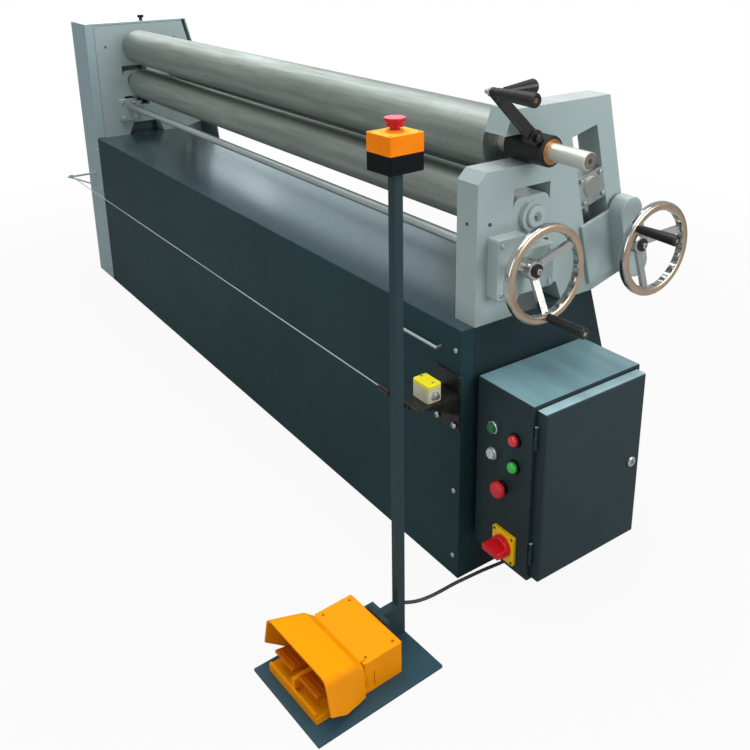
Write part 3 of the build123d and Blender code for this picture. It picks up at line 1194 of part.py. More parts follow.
def cabinet_box():
    y1 = CAB_Y + CAB_WIDTH
    z1 = CAB_Z + CAB_HEIGHT
    wall = CAB_WALL
    shell = box(CAB_BACK, CAB_FACE, CAB_Y, y1, CAB_Z, z1)
    shell = fillet(shell.edges().filter_by(Axis.X), wall * 2)
    room = box(CAB_BACK + wall, CAB_FACE - wall, CAB_Y + wall, y1 - wall, CAB_Z + wall, z1 - wall)
    lip = CAB_LIP
    mouth = box(CAB_BACK + wall, CAB_FACE + PAST, CAB_Y + lip, y1 - lip, CAB_Z + lip, z1 - lip)
    inset = CAB_STANDOFF_INSET
    standoffs = [
        rod_x(TAIL_X, CAB_BACK + wall / 2, y, z, CAB_STANDOFF_R)
        for y in (CAB_Y + inset, y1 - inset)
        for z in (CAB_Z + inset, z1 - inset)
    ]
    hinges = []
    for level in HINGE_LEVELS:
        low = level - HINGE_HEIGHT
        arm = box(CAB_FACE - wall, HINGE_X, HINGE_Y - HINGE_R / 2, HINGE_Y + HINGE_R / 2, low, level)
        knuckle = rod_z(low, level, HINGE_X, HINGE_Y, HINGE_R)
        hinges += [arm, knuckle, rod_z(low, level + HINGE_HEIGHT, HINGE_X, HINGE_Y, HINGE_PIN_R)]
    holes = [
        control_hole(LEFT_CONTROL, UPPER_CONTROL_Z, BUTTON_STEM_R + BUTTON_CLEAR),
        control_hole(LEFT_CONTROL, LOWER_CONTROL_Z, BUTTON_STEM_R + BUTTON_CLEAR),
        control_hole(ESTOP_X, ESTOP_Z, ESTOP_STEM_R + BUTTON_CLEAR),
    ]
    gland_y = FRONT_Y + CAB_GLAND_SETBACK
    gland = rod_z(CAB_Z - GLAND_LENGTH, CAB_Z + wall / 2, TAIL_X + CAB_GLAND_X, gland_y, GLAND_R)
    return shell - [room, mouth] + standoffs + hinges + [gland] - holes


def cabinet_door():
    wall = CAB_WALL
    tray = box(DOOR_X0, DOOR_X1, DOOR_Y0, DOOR_Y1, DOOR_Z0, DOOR_Z1)
    tray = fillet(tray.faces().sort_by(Axis.X)[-1].edges(), DOOR_FILLET)
    room = box(
        DOOR_X0 - PAST, DOOR_X1 - wall, DOOR_Y0 + wall, DOOR_Y1 - wall, DOOR_Z0 + wall, DOOR_Z1 - wall
    )
    knuckles = []
    bores = []
    for level in HINGE_LEVELS:
        top = level + HINGE_HEIGHT
        low = level + END_CLEAR
        leaf = box(HINGE_X - HINGE_R / 2, HINGE_X + HINGE_R / 2, HINGE_Y, DOOR_Y0 + wall / 2, low, top)
        knuckles += [leaf, rod_z(low, top, HINGE_X, HINGE_Y, HINGE_R)]
        bores.append(rod_z(low - PAST, top + PAST, HINGE_X, HINGE_Y, HINGE_PIN_R + HINGE_PIN_CLEAR))
    lock_hole = rod_x(DOOR_X0, DOOR_X1 + PAST, LOCK_Y, LOCK_Z, LOCK_R + RUN_CLEAR)
    return tray - room + knuckles - (bores + [lock_hole])


def door_lock():
    cam_x1 = CAB_FACE - CAB_WALL - END_CLEAR
    cam_x0 = cam_x1 - CAM_THICK
    barrel = rod_x(cam_x0, DOOR_X1, LOCK_Y, LOCK_Z, LOCK_R)
    head = rod_x(DOOR_X1, DOOR_X1 + LOCK_HEAD, LOCK_Y, LOCK_Z, LOCK_HEAD_R)
    head = chamfer(head.edges().group_by(Axis.X)[-1], LOCK_HEAD / 3)
    key = rod_x(DOOR_X1 + LOCK_HEAD / 2, DOOR_X1 + LOCK_HEAD + PAST, LOCK_Y, LOCK_Z, LOCK_R / 2)
    half = CAM_WIDTH / 2
    cam = box(cam_x0, cam_x1, LOCK_Y - half, LOCK_Y + half, LOCK_Z, LOCK_Z + CAM_LENGTH)
    return barrel + [head, cam] - key


def push_button(z):
    x = TAIL_X + LEFT_CONTROL
    cap = rod_y(CAB_Y - BUTTON_PROUD, CAB_Y - BUTTON_TRAVEL - END_CLEAR, x, z, BUTTON_R)
    cap = fillet(cap.edges().group_by(Axis.Y)[0], BUTTON_CLEAR * 5)
    return cap + rod_y(CAB_Y - BUTTON_TRAVEL - END_CLEAR, CAB_Y + BUTTON_STEM, x, z, BUTTON_STEM_R)


def button_bezels():
    rings = []
    for z in (UPPER_CONTROL_Z, LOWER_CONTROL_Z):
        x = TAIL_X + LEFT_CONTROL
        ring = rod_y(CAB_Y - BEZEL_DEPTH, CAB_Y, x, z, BEZEL_R)
        ring = chamfer(ring.edges().group_by(Axis.Y)[0], BEZEL_DEPTH / 4)
        rings.append(ring - rod_y(CAB_Y - BEZEL_DEPTH - PAST, CAB_Y + PAST, x, z, BUTTON_R + BUTTON_CLEAR))
    return rings[0] + rings[1]


def signal_lamps():
    lamps = []
    for z in (UPPER_CONTROL_Z, LOWER_CONTROL_Z):
        lens = rod_y(CAB_Y - LAMP_PROUD, CAB_Y, TAIL_X + RIGHT_CONTROL, z, LAMP_R)
        lamps.append(fillet(lens.edges().group_by(Axis.Y)[0], LAMP_R / 2))
    return lamps[0] + lamps[1]


def cabinet_estop():
    x = TAIL_X + ESTOP_X
    back = CAB_Y - ESTOP_STEM
    head = rod_y(back - ESTOP_HEAD_DEPTH, back, x, ESTOP_Z, ESTOP_HEAD_R)
    head = fillet(head.edges().group_by(Axis.Y)[0], ESTOP_HEAD_DEPTH / 2)
    return head + rod_y(back, CAB_Y + ESTOP_STEM, x, ESTOP_Z, ESTOP_STEM_R)


def main_switch_plate():
    x = TAIL_X + SWITCH_PLATE_X
    half = SWITCH_PLATE_WIDTH / 2
    tall = SWITCH_PLATE_HEIGHT / 2
    low = SWITCH_PLATE_Z - tall
    plate = box(x - half, x + half, CAB_Y - SWITCH_PLATE_THICK, CAB_Y, low, SWITCH_PLATE_Z + tall)
    return fillet(plate.edges().filter_by(Axis.Y), SWITCH_PLATE_THICK / 2)


def main_switch_knob():
    x = TAIL_X + SWITCH_PLATE_X
    y1 = CAB_Y - SWITCH_PLATE_THICK - KNOB_GAP
    disc = rod_y(y1 - KNOB_DEPTH, y1, x, SWITCH_PLATE_Z, KNOB_R)
    disc = fillet(disc.edges().group_by(Axis.Y)[0], KNOB_DEPTH / 4)
    half = KNOB_BAR_LENGTH / 2
    side = KNOB_BAR_WIDTH / 2
    bar = box(x - half, x + half, y1 - KNOB_DEPTH - KNOB_BAR_DEPTH, y1 - KNOB_DEPTH / 2,
              SWITCH_PLATE_Z - side, SWITCH_PLATE_Z + side)
    bar = fillet(bar.edges().filter_by(Axis.Y), side / 2)
    return disc + bar


# Pedestal: a floor plate with a square column that carries the emergency-stop box

COLUMN_CX = TAIL_X + COLUMN_X
COLUMN_CY = FRONT_Y - COLUMN_OUT
STAND_CX = TAIL_X + STAND_X
STOP_LID_Z = STOP_BOX_Z + STOP_BOX_HEIGHT
STOP_TOP = STOP_LID_Z + STOP_LID_HEIGHT
COLUMN_AXIS = Axis((COLUMN_CX, COLUMN_CY, 0), (0, 0, 1))


def as_stood(shape):
    return shape.rotate(COLUMN_AXIS, PEDESTAL_TURN)


def column_bar(half, top):
    x0 = COLUMN_CX - half
    x1 = COLUMN_CX + half
    return box(x0, x1, COLUMN_CY - half, COLUMN_CY + half, STAND_THICK, top)


def pedestal_stand():
    half_x = STAND_WIDTH / 2
    half_y = STAND_DEPTH / 2
    plate = box(STAND_CX - half_x, STAND_CX + half_x, STAND_Y - half_y, STAND_Y + half_y, 0, STAND_THICK)
    side = COLUMN_SIDE / 2
    hollow = side - COLUMN_WALL
    tube = column_bar(side, STOP_BOX_Z) - column_bar(hollow, STOP_BOX_Z + PAST)
    wide = FOOT_PLATE_WIDTH / 2
    foot_y = PEDAL_Y + PEDAL_LENGTH / 2 + REST_GAP
    top = STAND_THICK + FOOT_PLATE_HEIGHT
    foot = box(COLUMN_CX - wide, COLUMN_CX + wide, foot_y, foot_y + FOOT_PLATE_THICK, STAND_THICK, top)
    web = box(COLUMN_CX - side, COLUMN_CX + side, foot_y, COLUMN_CY - side, STAND_THICK, top)
    outlet = rod_x(COLUMN_CX - side - PAST, COLUMN_CX, COLUMN_CY, CORD_ROUTE[0][2], CORD_R + CORD_CLEAR)
    return as_stood(plate + [tube, foot, web]) - outlet


def stop_shell(z0, z1):
    half_x = STOP_BOX_X / 2
    half_y = STOP_BOX_Y / 2
    shell = box(COLUMN_CX - half_x, COLUMN_CX + half_x, COLUMN_CY - half_y, COLUMN_CY + half_y, z0, z1)
    return fillet(shell.edges().filter_by(Axis.Z), STOP_FILLET)


def stop_room(z0, z1):
    half_x = STOP_BOX_X / 2 - STOP_WALL
    half_y = STOP_BOX_Y / 2 - STOP_WALL
    return box(COLUMN_CX - half_x, COLUMN_CX + half_x, COLUMN_CY - half_y, COLUMN_CY + half_y, z0, z1)


def estop_box():
    case = stop_shell(STOP_BOX_Z, STOP_LID_Z) - stop_room(STOP_BOX_Z + STOP_WALL, STOP_LID_Z + PAST)
    return as_stood(case)


def estop_lid():
    lid = stop_shell(STOP_LID_Z, STOP_TOP)
    lid = fillet(lid.faces().sort_by(Axis.Z)[-1].edges(), STOP_FILLET / 2)
    collar = rod_z(STOP_TOP - STOP_WALL, STOP_TOP + STOP_COLLAR, COLUMN_CX, COLUMN_CY, STOP_COLLAR_R)
    hole_r = STOP_STEM_R + BUTTON_CLEAR
    hole = rod_z(STOP_TOP - STOP_LID_HEIGHT, STOP_TOP + STOP_COLLAR + PAST, COLUMN_CX, COLUMN_CY, hole_r)
    return as_stood(lid - stop_room(STOP_LID_Z - PAST, STOP_TOP - STOP_WALL) + collar - hole)


def estop_button():
    body_z = STOP_TOP + STOP_COLLAR + STOP_GAP
    head_z = body_z + STOP_BODY
    stem = rod_z(STOP_LID_Z, body_z, COLUMN_CX, COLUMN_CY, STOP_STEM_R)
    body = rod_z(body_z, head_z, COLUMN_CX, COLUMN_CY, STOP_BODY_R)
    head = rod_z(head_z, head_z + STOP_HEAD, COLUMN_CX, COLUMN_CY, STOP_HEAD_R)
    head = fillet(head.edges().filter_by(GeomType.CIRCLE), STOP_HEAD / 3)
    return stem + [body, head]


# Double foot switch: base with the switch body, hood over two treads and a divider between them

PEDAL_CX = TAIL_X + PEDAL_X
PEDAL_X0 = PEDAL_CX - PEDAL_WIDTH / 2
PEDAL_X1 = PEDAL_CX + PEDAL_WIDTH / 2
PEDAL_FRONT = PEDAL_Y - PEDAL_LENGTH / 2
PEDAL_REAR = PEDAL_Y + PEDAL_LENGTH / 2
PEDAL_DECK = STAND_THICK + PEDAL_BASE_THICK
BODY_FRONT = PEDAL_REAR - PEDAL_BODY_LENGTH
BODY_TOP = STAND_THICK + PEDAL_BODY_HEIGHT
PIN_Y = BODY_FRONT - PEDAL_PIN_BACK
HOOD_FRONT = PEDAL_FRONT + HOOD_FRONT_IN
TREAD_X0 = PEDAL_X0 + LUG_WIDTH + TREAD_GAP
TREAD_X1 = PEDAL_X1 - LUG_WIDTH - TREAD_GAP


def pedal_base():
    deck = box(PEDAL_X0, PEDAL_X1, PEDAL_FRONT, PEDAL_REAR, STAND_THICK, PEDAL_DECK)
    deck = fillet(deck.edges().filter_by(Axis.Z), PEDAL_FILLET)
    body = box(PEDAL_X0, PEDAL_X1, BODY_FRONT, PEDAL_REAR, STAND_THICK, BODY_TOP)
    body = fillet(body.edges().filter_by(Axis.Z), PEDAL_FILLET)
    body = fillet(body.faces().sort_by(Axis.Z)[-1].edges(), PEDAL_FILLET / 2)
    wall = PEDAL_WALL
    room = box(
        PEDAL_X0 + wall, PEDAL_X1 - wall, BODY_FRONT + wall, PEDAL_REAR - wall,
        STAND_THICK - PAST, BODY_TOP - wall,
    )
    ridge_top = PEDAL_DECK + DIVIDER_HEIGHT
    half = DIVIDER_WIDTH / 2
    ridge_front = PEDAL_FRONT + PEDAL_FILLET
    divider = box(PEDAL_CX - half, PEDAL_CX + half, ridge_front, BODY_FRONT, PEDAL_DECK, ridge_top)
    divider = fillet(divider.edges().filter_by(Axis.Y).group_by(Axis.Z)[-1], half / 2)
    lug_top = PEDAL_PIN_Z + PEDAL_BARREL_R
    lug_front = PIN_Y - PEDAL_BARREL_R
    lugs = [
        box(x0, x0 + LUG_WIDTH, lug_front, BODY_FRONT, PEDAL_DECK, lug_top)
        for x0 in (PEDAL_X0, PEDAL_X1 - LUG_WIDTH)
    ]
    pin_in = LUG_WIDTH / 8
    pin = rod_x(PEDAL_X0 + pin_in, PEDAL_X1 - pin_in, PIN_Y, PEDAL_PIN_Z, PEDAL_PIN_R)
    lip = box(
        PEDAL_X0 + PEDAL_FILLET, PEDAL_X1 - PEDAL_FILLET, PEDAL_FRONT, PEDAL_FRONT + LIP_DEPTH,
        PEDAL_DECK, PEDAL_DECK + LIP_HEIGHT,
    )
    inset = TOP_SCREW_INSET
    sinks = [
        rod_z(BODY_TOP - KNOCKOUT_DEPTH, BODY_TOP + PAST, x, y, TOP_SCREW_R)
        for x in (PEDAL_X0 + inset, PEDAL_X1 - inset)
        for y in (BODY_FRONT + inset, PEDAL_REAR - inset)
    ]
    mark_y = BODY_FRONT + inset
    mark_z = PEDAL_DECK + DIVIDER_HEIGHT / 2
    half_length = KNOCKOUT_LENGTH / 2
    half_height = KNOCKOUT_HEIGHT / 2
    inner_x = PEDAL_X1 - KNOCKOUT_DEPTH
    mark = box(
        inner_x, PEDAL_X1 + PAST, mark_y - half_length, mark_y + half_length,
        mark_z - half_height, mark_z + half_height,
    )
    mark -= rod_x(inner_x, PEDAL_X1 + PAST, mark_y, mark_z, KNOCKOUT_R)
    return as_stood(deck + body - room + [divider, pin, lip] + lugs - (sinks + [mark]))


def pedal_tread(x0, x1):
    rear = PIN_Y - PEDAL_BARREL_R / 2
    front = rear - TREAD_LENGTH
    low = PEDAL_PIN_Z - TREAD_THICK / 2
    points = [(rear, low), (rear, low + TREAD_THICK), (front, low + TREAD_RISE + TREAD_THICK)]
    points += [(front, low + TREAD_RISE)]
    plate = slab_x(points, x0, x1)
    plate = fillet(plate.edges().filter_by(Axis.X).group_by(Axis.Y)[0], TREAD_FILLET)
    barrel = rod_x(x0, x1, PIN_Y, PEDAL_PIN_Z, PEDAL_BARREL_R)
    bore = rod_x(x0 - PAST, x1 + PAST, PIN_Y, PEDAL_PIN_Z, PEDAL_PIN_R + RUN_CLEAR)
    return as_stood(plate + barrel - bore)


def pedal_left():
    return pedal_tread(TREAD_X0, PEDAL_CX - DIVIDER_WIDTH / 2 - TREAD_GAP)


def pedal_right():
    return pedal_tread(PEDAL_CX + DIVIDER_WIDTH / 2 + TREAD_GAP, TREAD_X1)


def round_corner(before, corner, after):
    first = corner + (before - corner).normalized() * HOOD_ROUND
    last = corner + (after - corner).normalized() * HOOD_ROUND
    curve = [first * (1 - t) ** 2 + corner * (2 * t * (1 - t)) + last * t ** 2 for t in HOOD_BEND]
    return [first] + curve + [last]


def hood_face(section, inset, drop, shift):
    setback, top_out, top_z, foot_out, foot_z = section
    half = PEDAL_WIDTH / 2 - inset
    splay = (foot_out - top_out) / (top_z - foot_z) * drop
    y = HOOD_FRONT + setback + shift
    top = STAND_THICK + top_z - inset
    foot = STAND_THICK + foot_z - drop
    left_foot = Vector(PEDAL_CX - half - foot_out - splay, y, foot)
    left_top = Vector(PEDAL_CX - half - top_out, y, top)
    right_top = Vector(PEDAL_CX + half + top_out, y, top)
    right_foot = Vector(PEDAL_CX + half + foot_out + splay, y, foot)
    roof = round_corner(left_foot, left_top, right_top) + round_corner(left_top, right_top, right_foot)
    return make_face(Polyline(left_foot, *roof, right_foot, close=True))


def pedal_hood():
    shifts = [0] * len(HOOD_SECTIONS)
    faces = [hood_face(section, 0, 0, shift) for section, shift in zip(HOOD_SECTIONS, shifts)]
    outer = loft(faces, ruled=True)
    shifts[0] = -PAST
    shifts[-1] = PAST
    drop = PEDAL_BODY_HEIGHT / 4
    faces = [hood_face(section, HOOD_WALL, drop, shift) for section, shift in zip(HOOD_SECTIONS, shifts)]
    shell = outer - loft(faces, ruled=True)
    setback, top_out, top_z, _, _ = HOOD_SECTIONS[-1]
    half = PEDAL_WIDTH / 2 - HOOD_ROUND / 2
    rear = HOOD_FRONT + setback
    top = STAND_THICK + top_z
    lap = box(PEDAL_CX - half, PEDAL_CX + half, rear - PAST, BODY_FRONT + HOOD_LAP, BODY_TOP, top)
    return as_stood(shell + lap)


# Cable: out of the pedestal's column, over the floor, up into the cabinet's gland

def cord_radii(points):
    radii = []
    for before, here, after in zip(points, points[1:], points[2:]):
        into = here - before
        out = after - here
        half_turn = math.radians(into.get_angle(out)) / 2
        radii.append(CORD_BEND_SHARE * min(into.length, out.length) / math.tan(half_turn))
    return radii


def pedal_cable():
    corner = Vector(TAIL_X, FRONT_Y, 0)
    points = [corner + Vector(*point) for point in CORD_ROUTE]
    radii = cord_radii(points)
    print("cable bend radii", [round(radius) for radius in radii])
    path = FilletPolyline(*points, radius=radii)
    section = Plane(origin=path @ 0, z_dir=path % 0) * Circle(CORD_R)
    return sweep(section, path=path)


NODES = {
    "base_shell": base_shell(),
    "front_panel": front_panel(),
    "panel_rod": panel_rod(),
    "head_cheek": head_cheek(),
    "tail_cheek": tail_cheek(),
    "head_casing": head_casing(),
    "fixing_screws": fixing_screws(),
    "top_roll": top_roll(),
    "top_pivot_bearing": top_pivot_bearing(),
    "top_sleeve": top_sleeve(),
    "top_bush": top_bush(),
    "release_lever": release_lever(),
    "lever_grips": lever_grips(),
    "lower_roll": lower_roll(),
    "lower_end_cap": lower_end_cap(),
    "lower_blocks": lower_blocks(),
    "lower_bushes": lower_bushes(),
    "lower_nut_head": lower_nut(HEAD_MID),
    "lower_nut_tail": lower_nut(TAIL_MID),
    "front_shaft": front_shaft(),
    "front_worm_cover": front_worm_cover(),
    "head_shaft_brackets": head_shaft_brackets(),
    "rear_roll": rear_roll(),
    "rear_blocks": rear_blocks(),
    "rear_nut_head": rear_nut(HEAD_MID),
    "rear_nut_tail": rear_nut(TAIL_MID),
    "rear_shaft": rear_shaft(),
    "rear_worm_housing": rear_worm_housing(),
    "front_handwheel": handwheel(*FRONT_WHEEL),
    "front_grip": wheel_grip(*FRONT_WHEEL),
    "rear_handwheel": handwheel(*REAR_WHEEL),
    "rear_grip": wheel_grip(*REAR_WHEEL),
    "gearbox": gearbox(),
    "drive_motor": drive_motor(),
    "motor_rotor": motor_rotor(),
    "trip_wire": trip_wire(),
    "wire_fitting": wire_fitting(),
    "wire_bracket": wire_bracket(),
    "trip_bracket": trip_bracket(),
    "trip_switch": trip_switch(),
    "trip_switch_lid": trip_switch_lid(),
    "cabinet_box": cabinet_box(),
    "cabinet_door": cabinet_door(),
    "door_lock": door_lock(),
    "green_button": push_button(UPPER_CONTROL_Z),
    "white_button": push_button(LOWER_CONTROL_Z),
    "button_bezels": button_bezels(),
    "signal_lamps": signal_lamps(),
    "cabinet_estop": cabinet_estop(),
    "main_switch_plate": main_switch_plate(),
    "main_switch_knob": main_switch_knob(),
    "pedestal_stand": pedestal_stand(),
    "estop_box": estop_box(),
    "estop_lid": estop_lid(),
    "estop_button": estop_button(),
    "pedal_base": pedal_base(),
    "pedal_hood": pedal_hood(),
    "pedal_left": pedal_left(),
    "pedal_right": pedal_right(),
    "pedal_cable": pedal_cable(),
}

os.makedirs("parts", exist_ok=True)
for name, shape in NODES.items():
    export_step(shape, f"parts/{name}.step")
print(len(NODES), "nodes")
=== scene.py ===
# %% [markdown]
# # Dressing a plate rolling machine
# The packed CAD model already holds every solid of the machine, in metres and in its place. This lesson
# gives those solids their paint and metal, adds the small things that a machinist looks for, and lights
# the whole.

# %% Load the machine
import math

import bmesh
import bpy
from mathutils import Matrix, Vector


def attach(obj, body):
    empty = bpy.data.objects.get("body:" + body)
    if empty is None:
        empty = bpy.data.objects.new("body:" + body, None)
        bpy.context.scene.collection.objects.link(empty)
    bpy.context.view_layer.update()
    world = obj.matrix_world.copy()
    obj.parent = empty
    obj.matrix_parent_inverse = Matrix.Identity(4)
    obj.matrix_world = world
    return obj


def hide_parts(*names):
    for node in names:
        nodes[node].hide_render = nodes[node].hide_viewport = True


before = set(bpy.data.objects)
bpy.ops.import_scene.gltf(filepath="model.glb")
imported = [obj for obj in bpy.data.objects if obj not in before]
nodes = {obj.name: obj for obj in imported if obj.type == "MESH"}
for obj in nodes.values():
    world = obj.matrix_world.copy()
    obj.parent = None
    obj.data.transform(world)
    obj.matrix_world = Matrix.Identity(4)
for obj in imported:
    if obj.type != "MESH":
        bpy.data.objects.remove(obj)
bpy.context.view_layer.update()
scene = bpy.context.scene
scene.view_settings.view_transform = "Standard"

# %% [markdown]
# ## The camera
# The photograph was taken from the tail end, a little above head height. Its vertical lines lean hardly
# at all, although the view looks down on the machine: the picture is a crop from the lower part of a
# wider one. A camera's shift does the same, so the lens stays natural and only the frame slides down.

# %% Camera
lens_data = bpy.data.cameras.new("photo_camera")
lens_data.lens = 42.4
lens_data.shift_x = -0.0066
lens_data.shift_y = -0.1882
camera = bpy.data.objects.new("photo_camera", lens_data)
camera.location = (2.8249, -1.6037, 1.6283)
camera.rotation_euler = [math.radians(angle) for angle in (71.253, 0.731, 54.992)]
scene.collection.objects.link(camera)
scene.camera = camera
print("camera", round(camera.location.length, 2), "m from the machine's middle")

# %% [markdown]
# ## The foot switch's cable
# A rubber cable leaves the pedestal's column near the floor, lies in a loose curve and climbs into the
# gland under the electric cabinet. A NURBS curve whose control points are the cable's route bends
# softly the way rubber does. Its order is set after the points exist, because a short spline can't hold
# a high order.

# %% Cable
TAIL_CORNER = Vector((1.3475, -0.342, 0.0))
CABLE_RADIUS = 0.0045
CABLE_ROUTE = [
    (0.068, -0.245, 0.027), (0.031, -0.245, 0.027), (0.000, -0.222, 0.020), (-0.010, -0.186, 0.0095),
    (0.007, -0.151, 0.005), (0.015, -0.112, 0.0046), (0.016, -0.067, 0.0047), (0.014, -0.022, 0.0046),
    (0.017, 0.028, 0.0046), (0.019, 0.072, 0.0046), (0.024, 0.112, 0.0048), (0.030, 0.151, 0.0075),
    (0.0355, 0.184, 0.029), (0.0375, 0.198, 0.065), (0.0375, 0.198, 0.098),
]
cable_data = bpy.data.curves.new("rubber_cable", "CURVE")
cable_data.dimensions = "3D"
spline = cable_data.splines.new("NURBS")
spline.points.add(len(CABLE_ROUTE) - 1)
for control, place in zip(spline.points, CABLE_ROUTE):
    control.co = (*(TAIL_CORNER + Vector(place)), 1.0)
spline.order_u = 3
spline.use_endpoint_u = True
spline.resolution_u = 8
cable_data.bevel_depth = CABLE_RADIUS
cable_data.bevel_resolution = 4
cable_data.use_fill_caps = True
rubber_cable = bpy.data.objects.new("rubber_cable", cable_data)
scene.collection.objects.link(rubber_cable)
print("cable drawn through", len(CABLE_ROUTE), "points")

# %% [markdown]
# ## A bench for mixing finishes
# Every finish on this machine is one shader with patterns on top: clouds of colour, fine grain, dents.
# One small class keeps the shader and its wiring, and a second one adds the patterns. They lie on the
# object's own coordinates, which stay put when a joint moves. Colours are picked as screen values from 0
# to 255, and a shader wants linear light, so they are converted.

# %% Colours, sockets and sums
def shade(red, green, blue):
    def linear(value):
        value /= 255
        return value / 12.92 if value <= 0.04045 else ((value + 0.055) / 1.055) ** 2.4
    return (linear(red), linear(green), linear(blue), 1.0)


def feed(tree, made, socket, value):
    """Gives a node's socket a number or a colour, or links another node's output to it."""
    if isinstance(value, bpy.types.NodeSocket):
        tree.links.new(value, made.inputs[socket])
    else:
        made.inputs[socket].default_value = value


def sum_of(tree, operation, first, second):
    made = tree.nodes.new("ShaderNodeMath")
    made.operation = operation
    feed(tree, made, 0, first)
    feed(tree, made, 1, second)
    return made.outputs[0]


print("a mid grey in linear light:", round(shade(128, 128, 128)[0], 3))


# %% Mixing bench
class Bench:
    """A material being mixed: one shader, and the wiring that feeds it."""

    def __init__(self, name, roughness=0.5, metallic=0.0):
        self.material = bpy.data.materials.new(name)
        self.material.use_nodes = True
        self.tree = self.material.node_tree
        self.shader = self.tree.nodes["Principled BSDF"]
        self.set("Roughness", roughness)
        self.set("Metallic", metallic)
        self.place = self.add("ShaderNodeTexCoord").outputs["Object"]
        self.normal = None

    def add(self, kind, **settings):
        made = self.tree.nodes.new(kind)
        for name, value in settings.items():
            setattr(made, name, value)
        return made

    def plug(self, made, socket, value):
        feed(self.tree, made, socket, value)

    def set(self, socket, value):
        self.plug(self.shader, socket, value)

    def painted(self):
        return self.shader.inputs["Base Color"].links[0].from_socket

    def sums(self, operation, first, second):
        return sum_of(self.tree, operation, first, second)

    def split(self, vector):
        made = self.add("ShaderNodeSeparateXYZ")
        self.plug(made, 0, vector)
        return made.outputs

    def dent(self, pattern, depth, strength=1.0):
        bump = self.add("ShaderNodeBump")
        self.plug(bump, "Height", pattern)
        bump.inputs["Distance"].default_value = depth
        bump.inputs["Strength"].default_value = strength
        if self.normal is not None:
            self.plug(bump, "Normal", self.normal)
        self.normal = bump.outputs["Normal"]
        self.set("Normal", self.normal)


print("bench ready:", Bench.__doc__)


# %% Patterns and masks
class Finish(Bench):
    """A bench with patterns and masks that are laid on the object's own coordinates."""

    def clouds(self, scale, stretch=(1, 1, 1), detail=3.0):
        """Noise with about `scale` clouds to the metre, longer along an axis where stretch is small."""
        mapping = self.add("ShaderNodeMapping")
        self.plug(mapping, "Vector", self.place)
        mapping.inputs["Scale"].default_value = stretch
        noise = self.add("ShaderNodeTexNoise")
        self.plug(noise, "Vector", mapping.outputs["Vector"])
        noise.inputs["Scale"].default_value = scale
        noise.inputs["Detail"].default_value = detail
        return noise.outputs["Fac"]

    def cells(self, scale):
        voronoi = self.add("ShaderNodeTexVoronoi")
        self.plug(voronoi, "Vector", self.place)
        voronoi.inputs["Scale"].default_value = scale
        return voronoi.outputs["Distance"]

    def spread(self, pattern, start, end, low=0.0, high=1.0):
        """Stretches the part of a pattern between start and end to run from low to high."""
        ranged = self.add("ShaderNodeMapRange")
        self.plug(ranged, "Value", pattern)
        for socket, value in (("From Min", start), ("From Max", end), ("To Min", low), ("To Max", high)):
            ranged.inputs[socket].default_value = value
        return ranged.outputs["Result"]

    def blend(self, pattern, first, second):
        mixed = self.add("ShaderNodeMix", data_type="RGBA")
        self.plug(mixed, 0, pattern)
        self.plug(mixed, 6, first)
        self.plug(mixed, 7, second)
        return mixed.outputs[2]

    def beyond(self, axis, radius, soft):
        """0 within a radius of a line along X, given by its y and z, and 1 beyond it."""
        place = self.split(self.place)
        off_y = self.sums("SUBTRACT", place["Y"], axis[0])
        off_z = self.sums("SUBTRACT", place["Z"], axis[1])
        square_y = self.sums("MULTIPLY", off_y, off_y)
        square_z = self.sums("MULTIPLY", off_z, off_z)
        squares = self.sums("ADD", square_y, square_z)
        return self.spread(squares, (radius - soft) ** 2, (radius + soft) ** 2)

    def facing(self, axis):
        return self.split(self.add("ShaderNodeTexCoord").outputs["Normal"])[axis]

    def upward(self):
        """1 on faces that look up, 0 on the rest."""
        return self.spread(self.facing("Z"), 0.80, 0.97)

    def edges(self, reach):
        """How far a place turns away from its smooth neighbours: 0 on a flat, up to 1 at an edge."""
        rounded = self.add("ShaderNodeBevel", samples=4)
        rounded.inputs["Radius"].default_value = reach
        flat = self.add("ShaderNodeNewGeometry").outputs["Normal"]
        compare = self.add("ShaderNodeVectorMath", operation="DOT_PRODUCT")
        self.plug(compare, 0, rounded.outputs["Normal"])
        self.plug(compare, 1, flat)
        return self.spread(compare.outputs["Value"], 0.97, 0.80)


print("patterns ready:", Finish.__doc__)
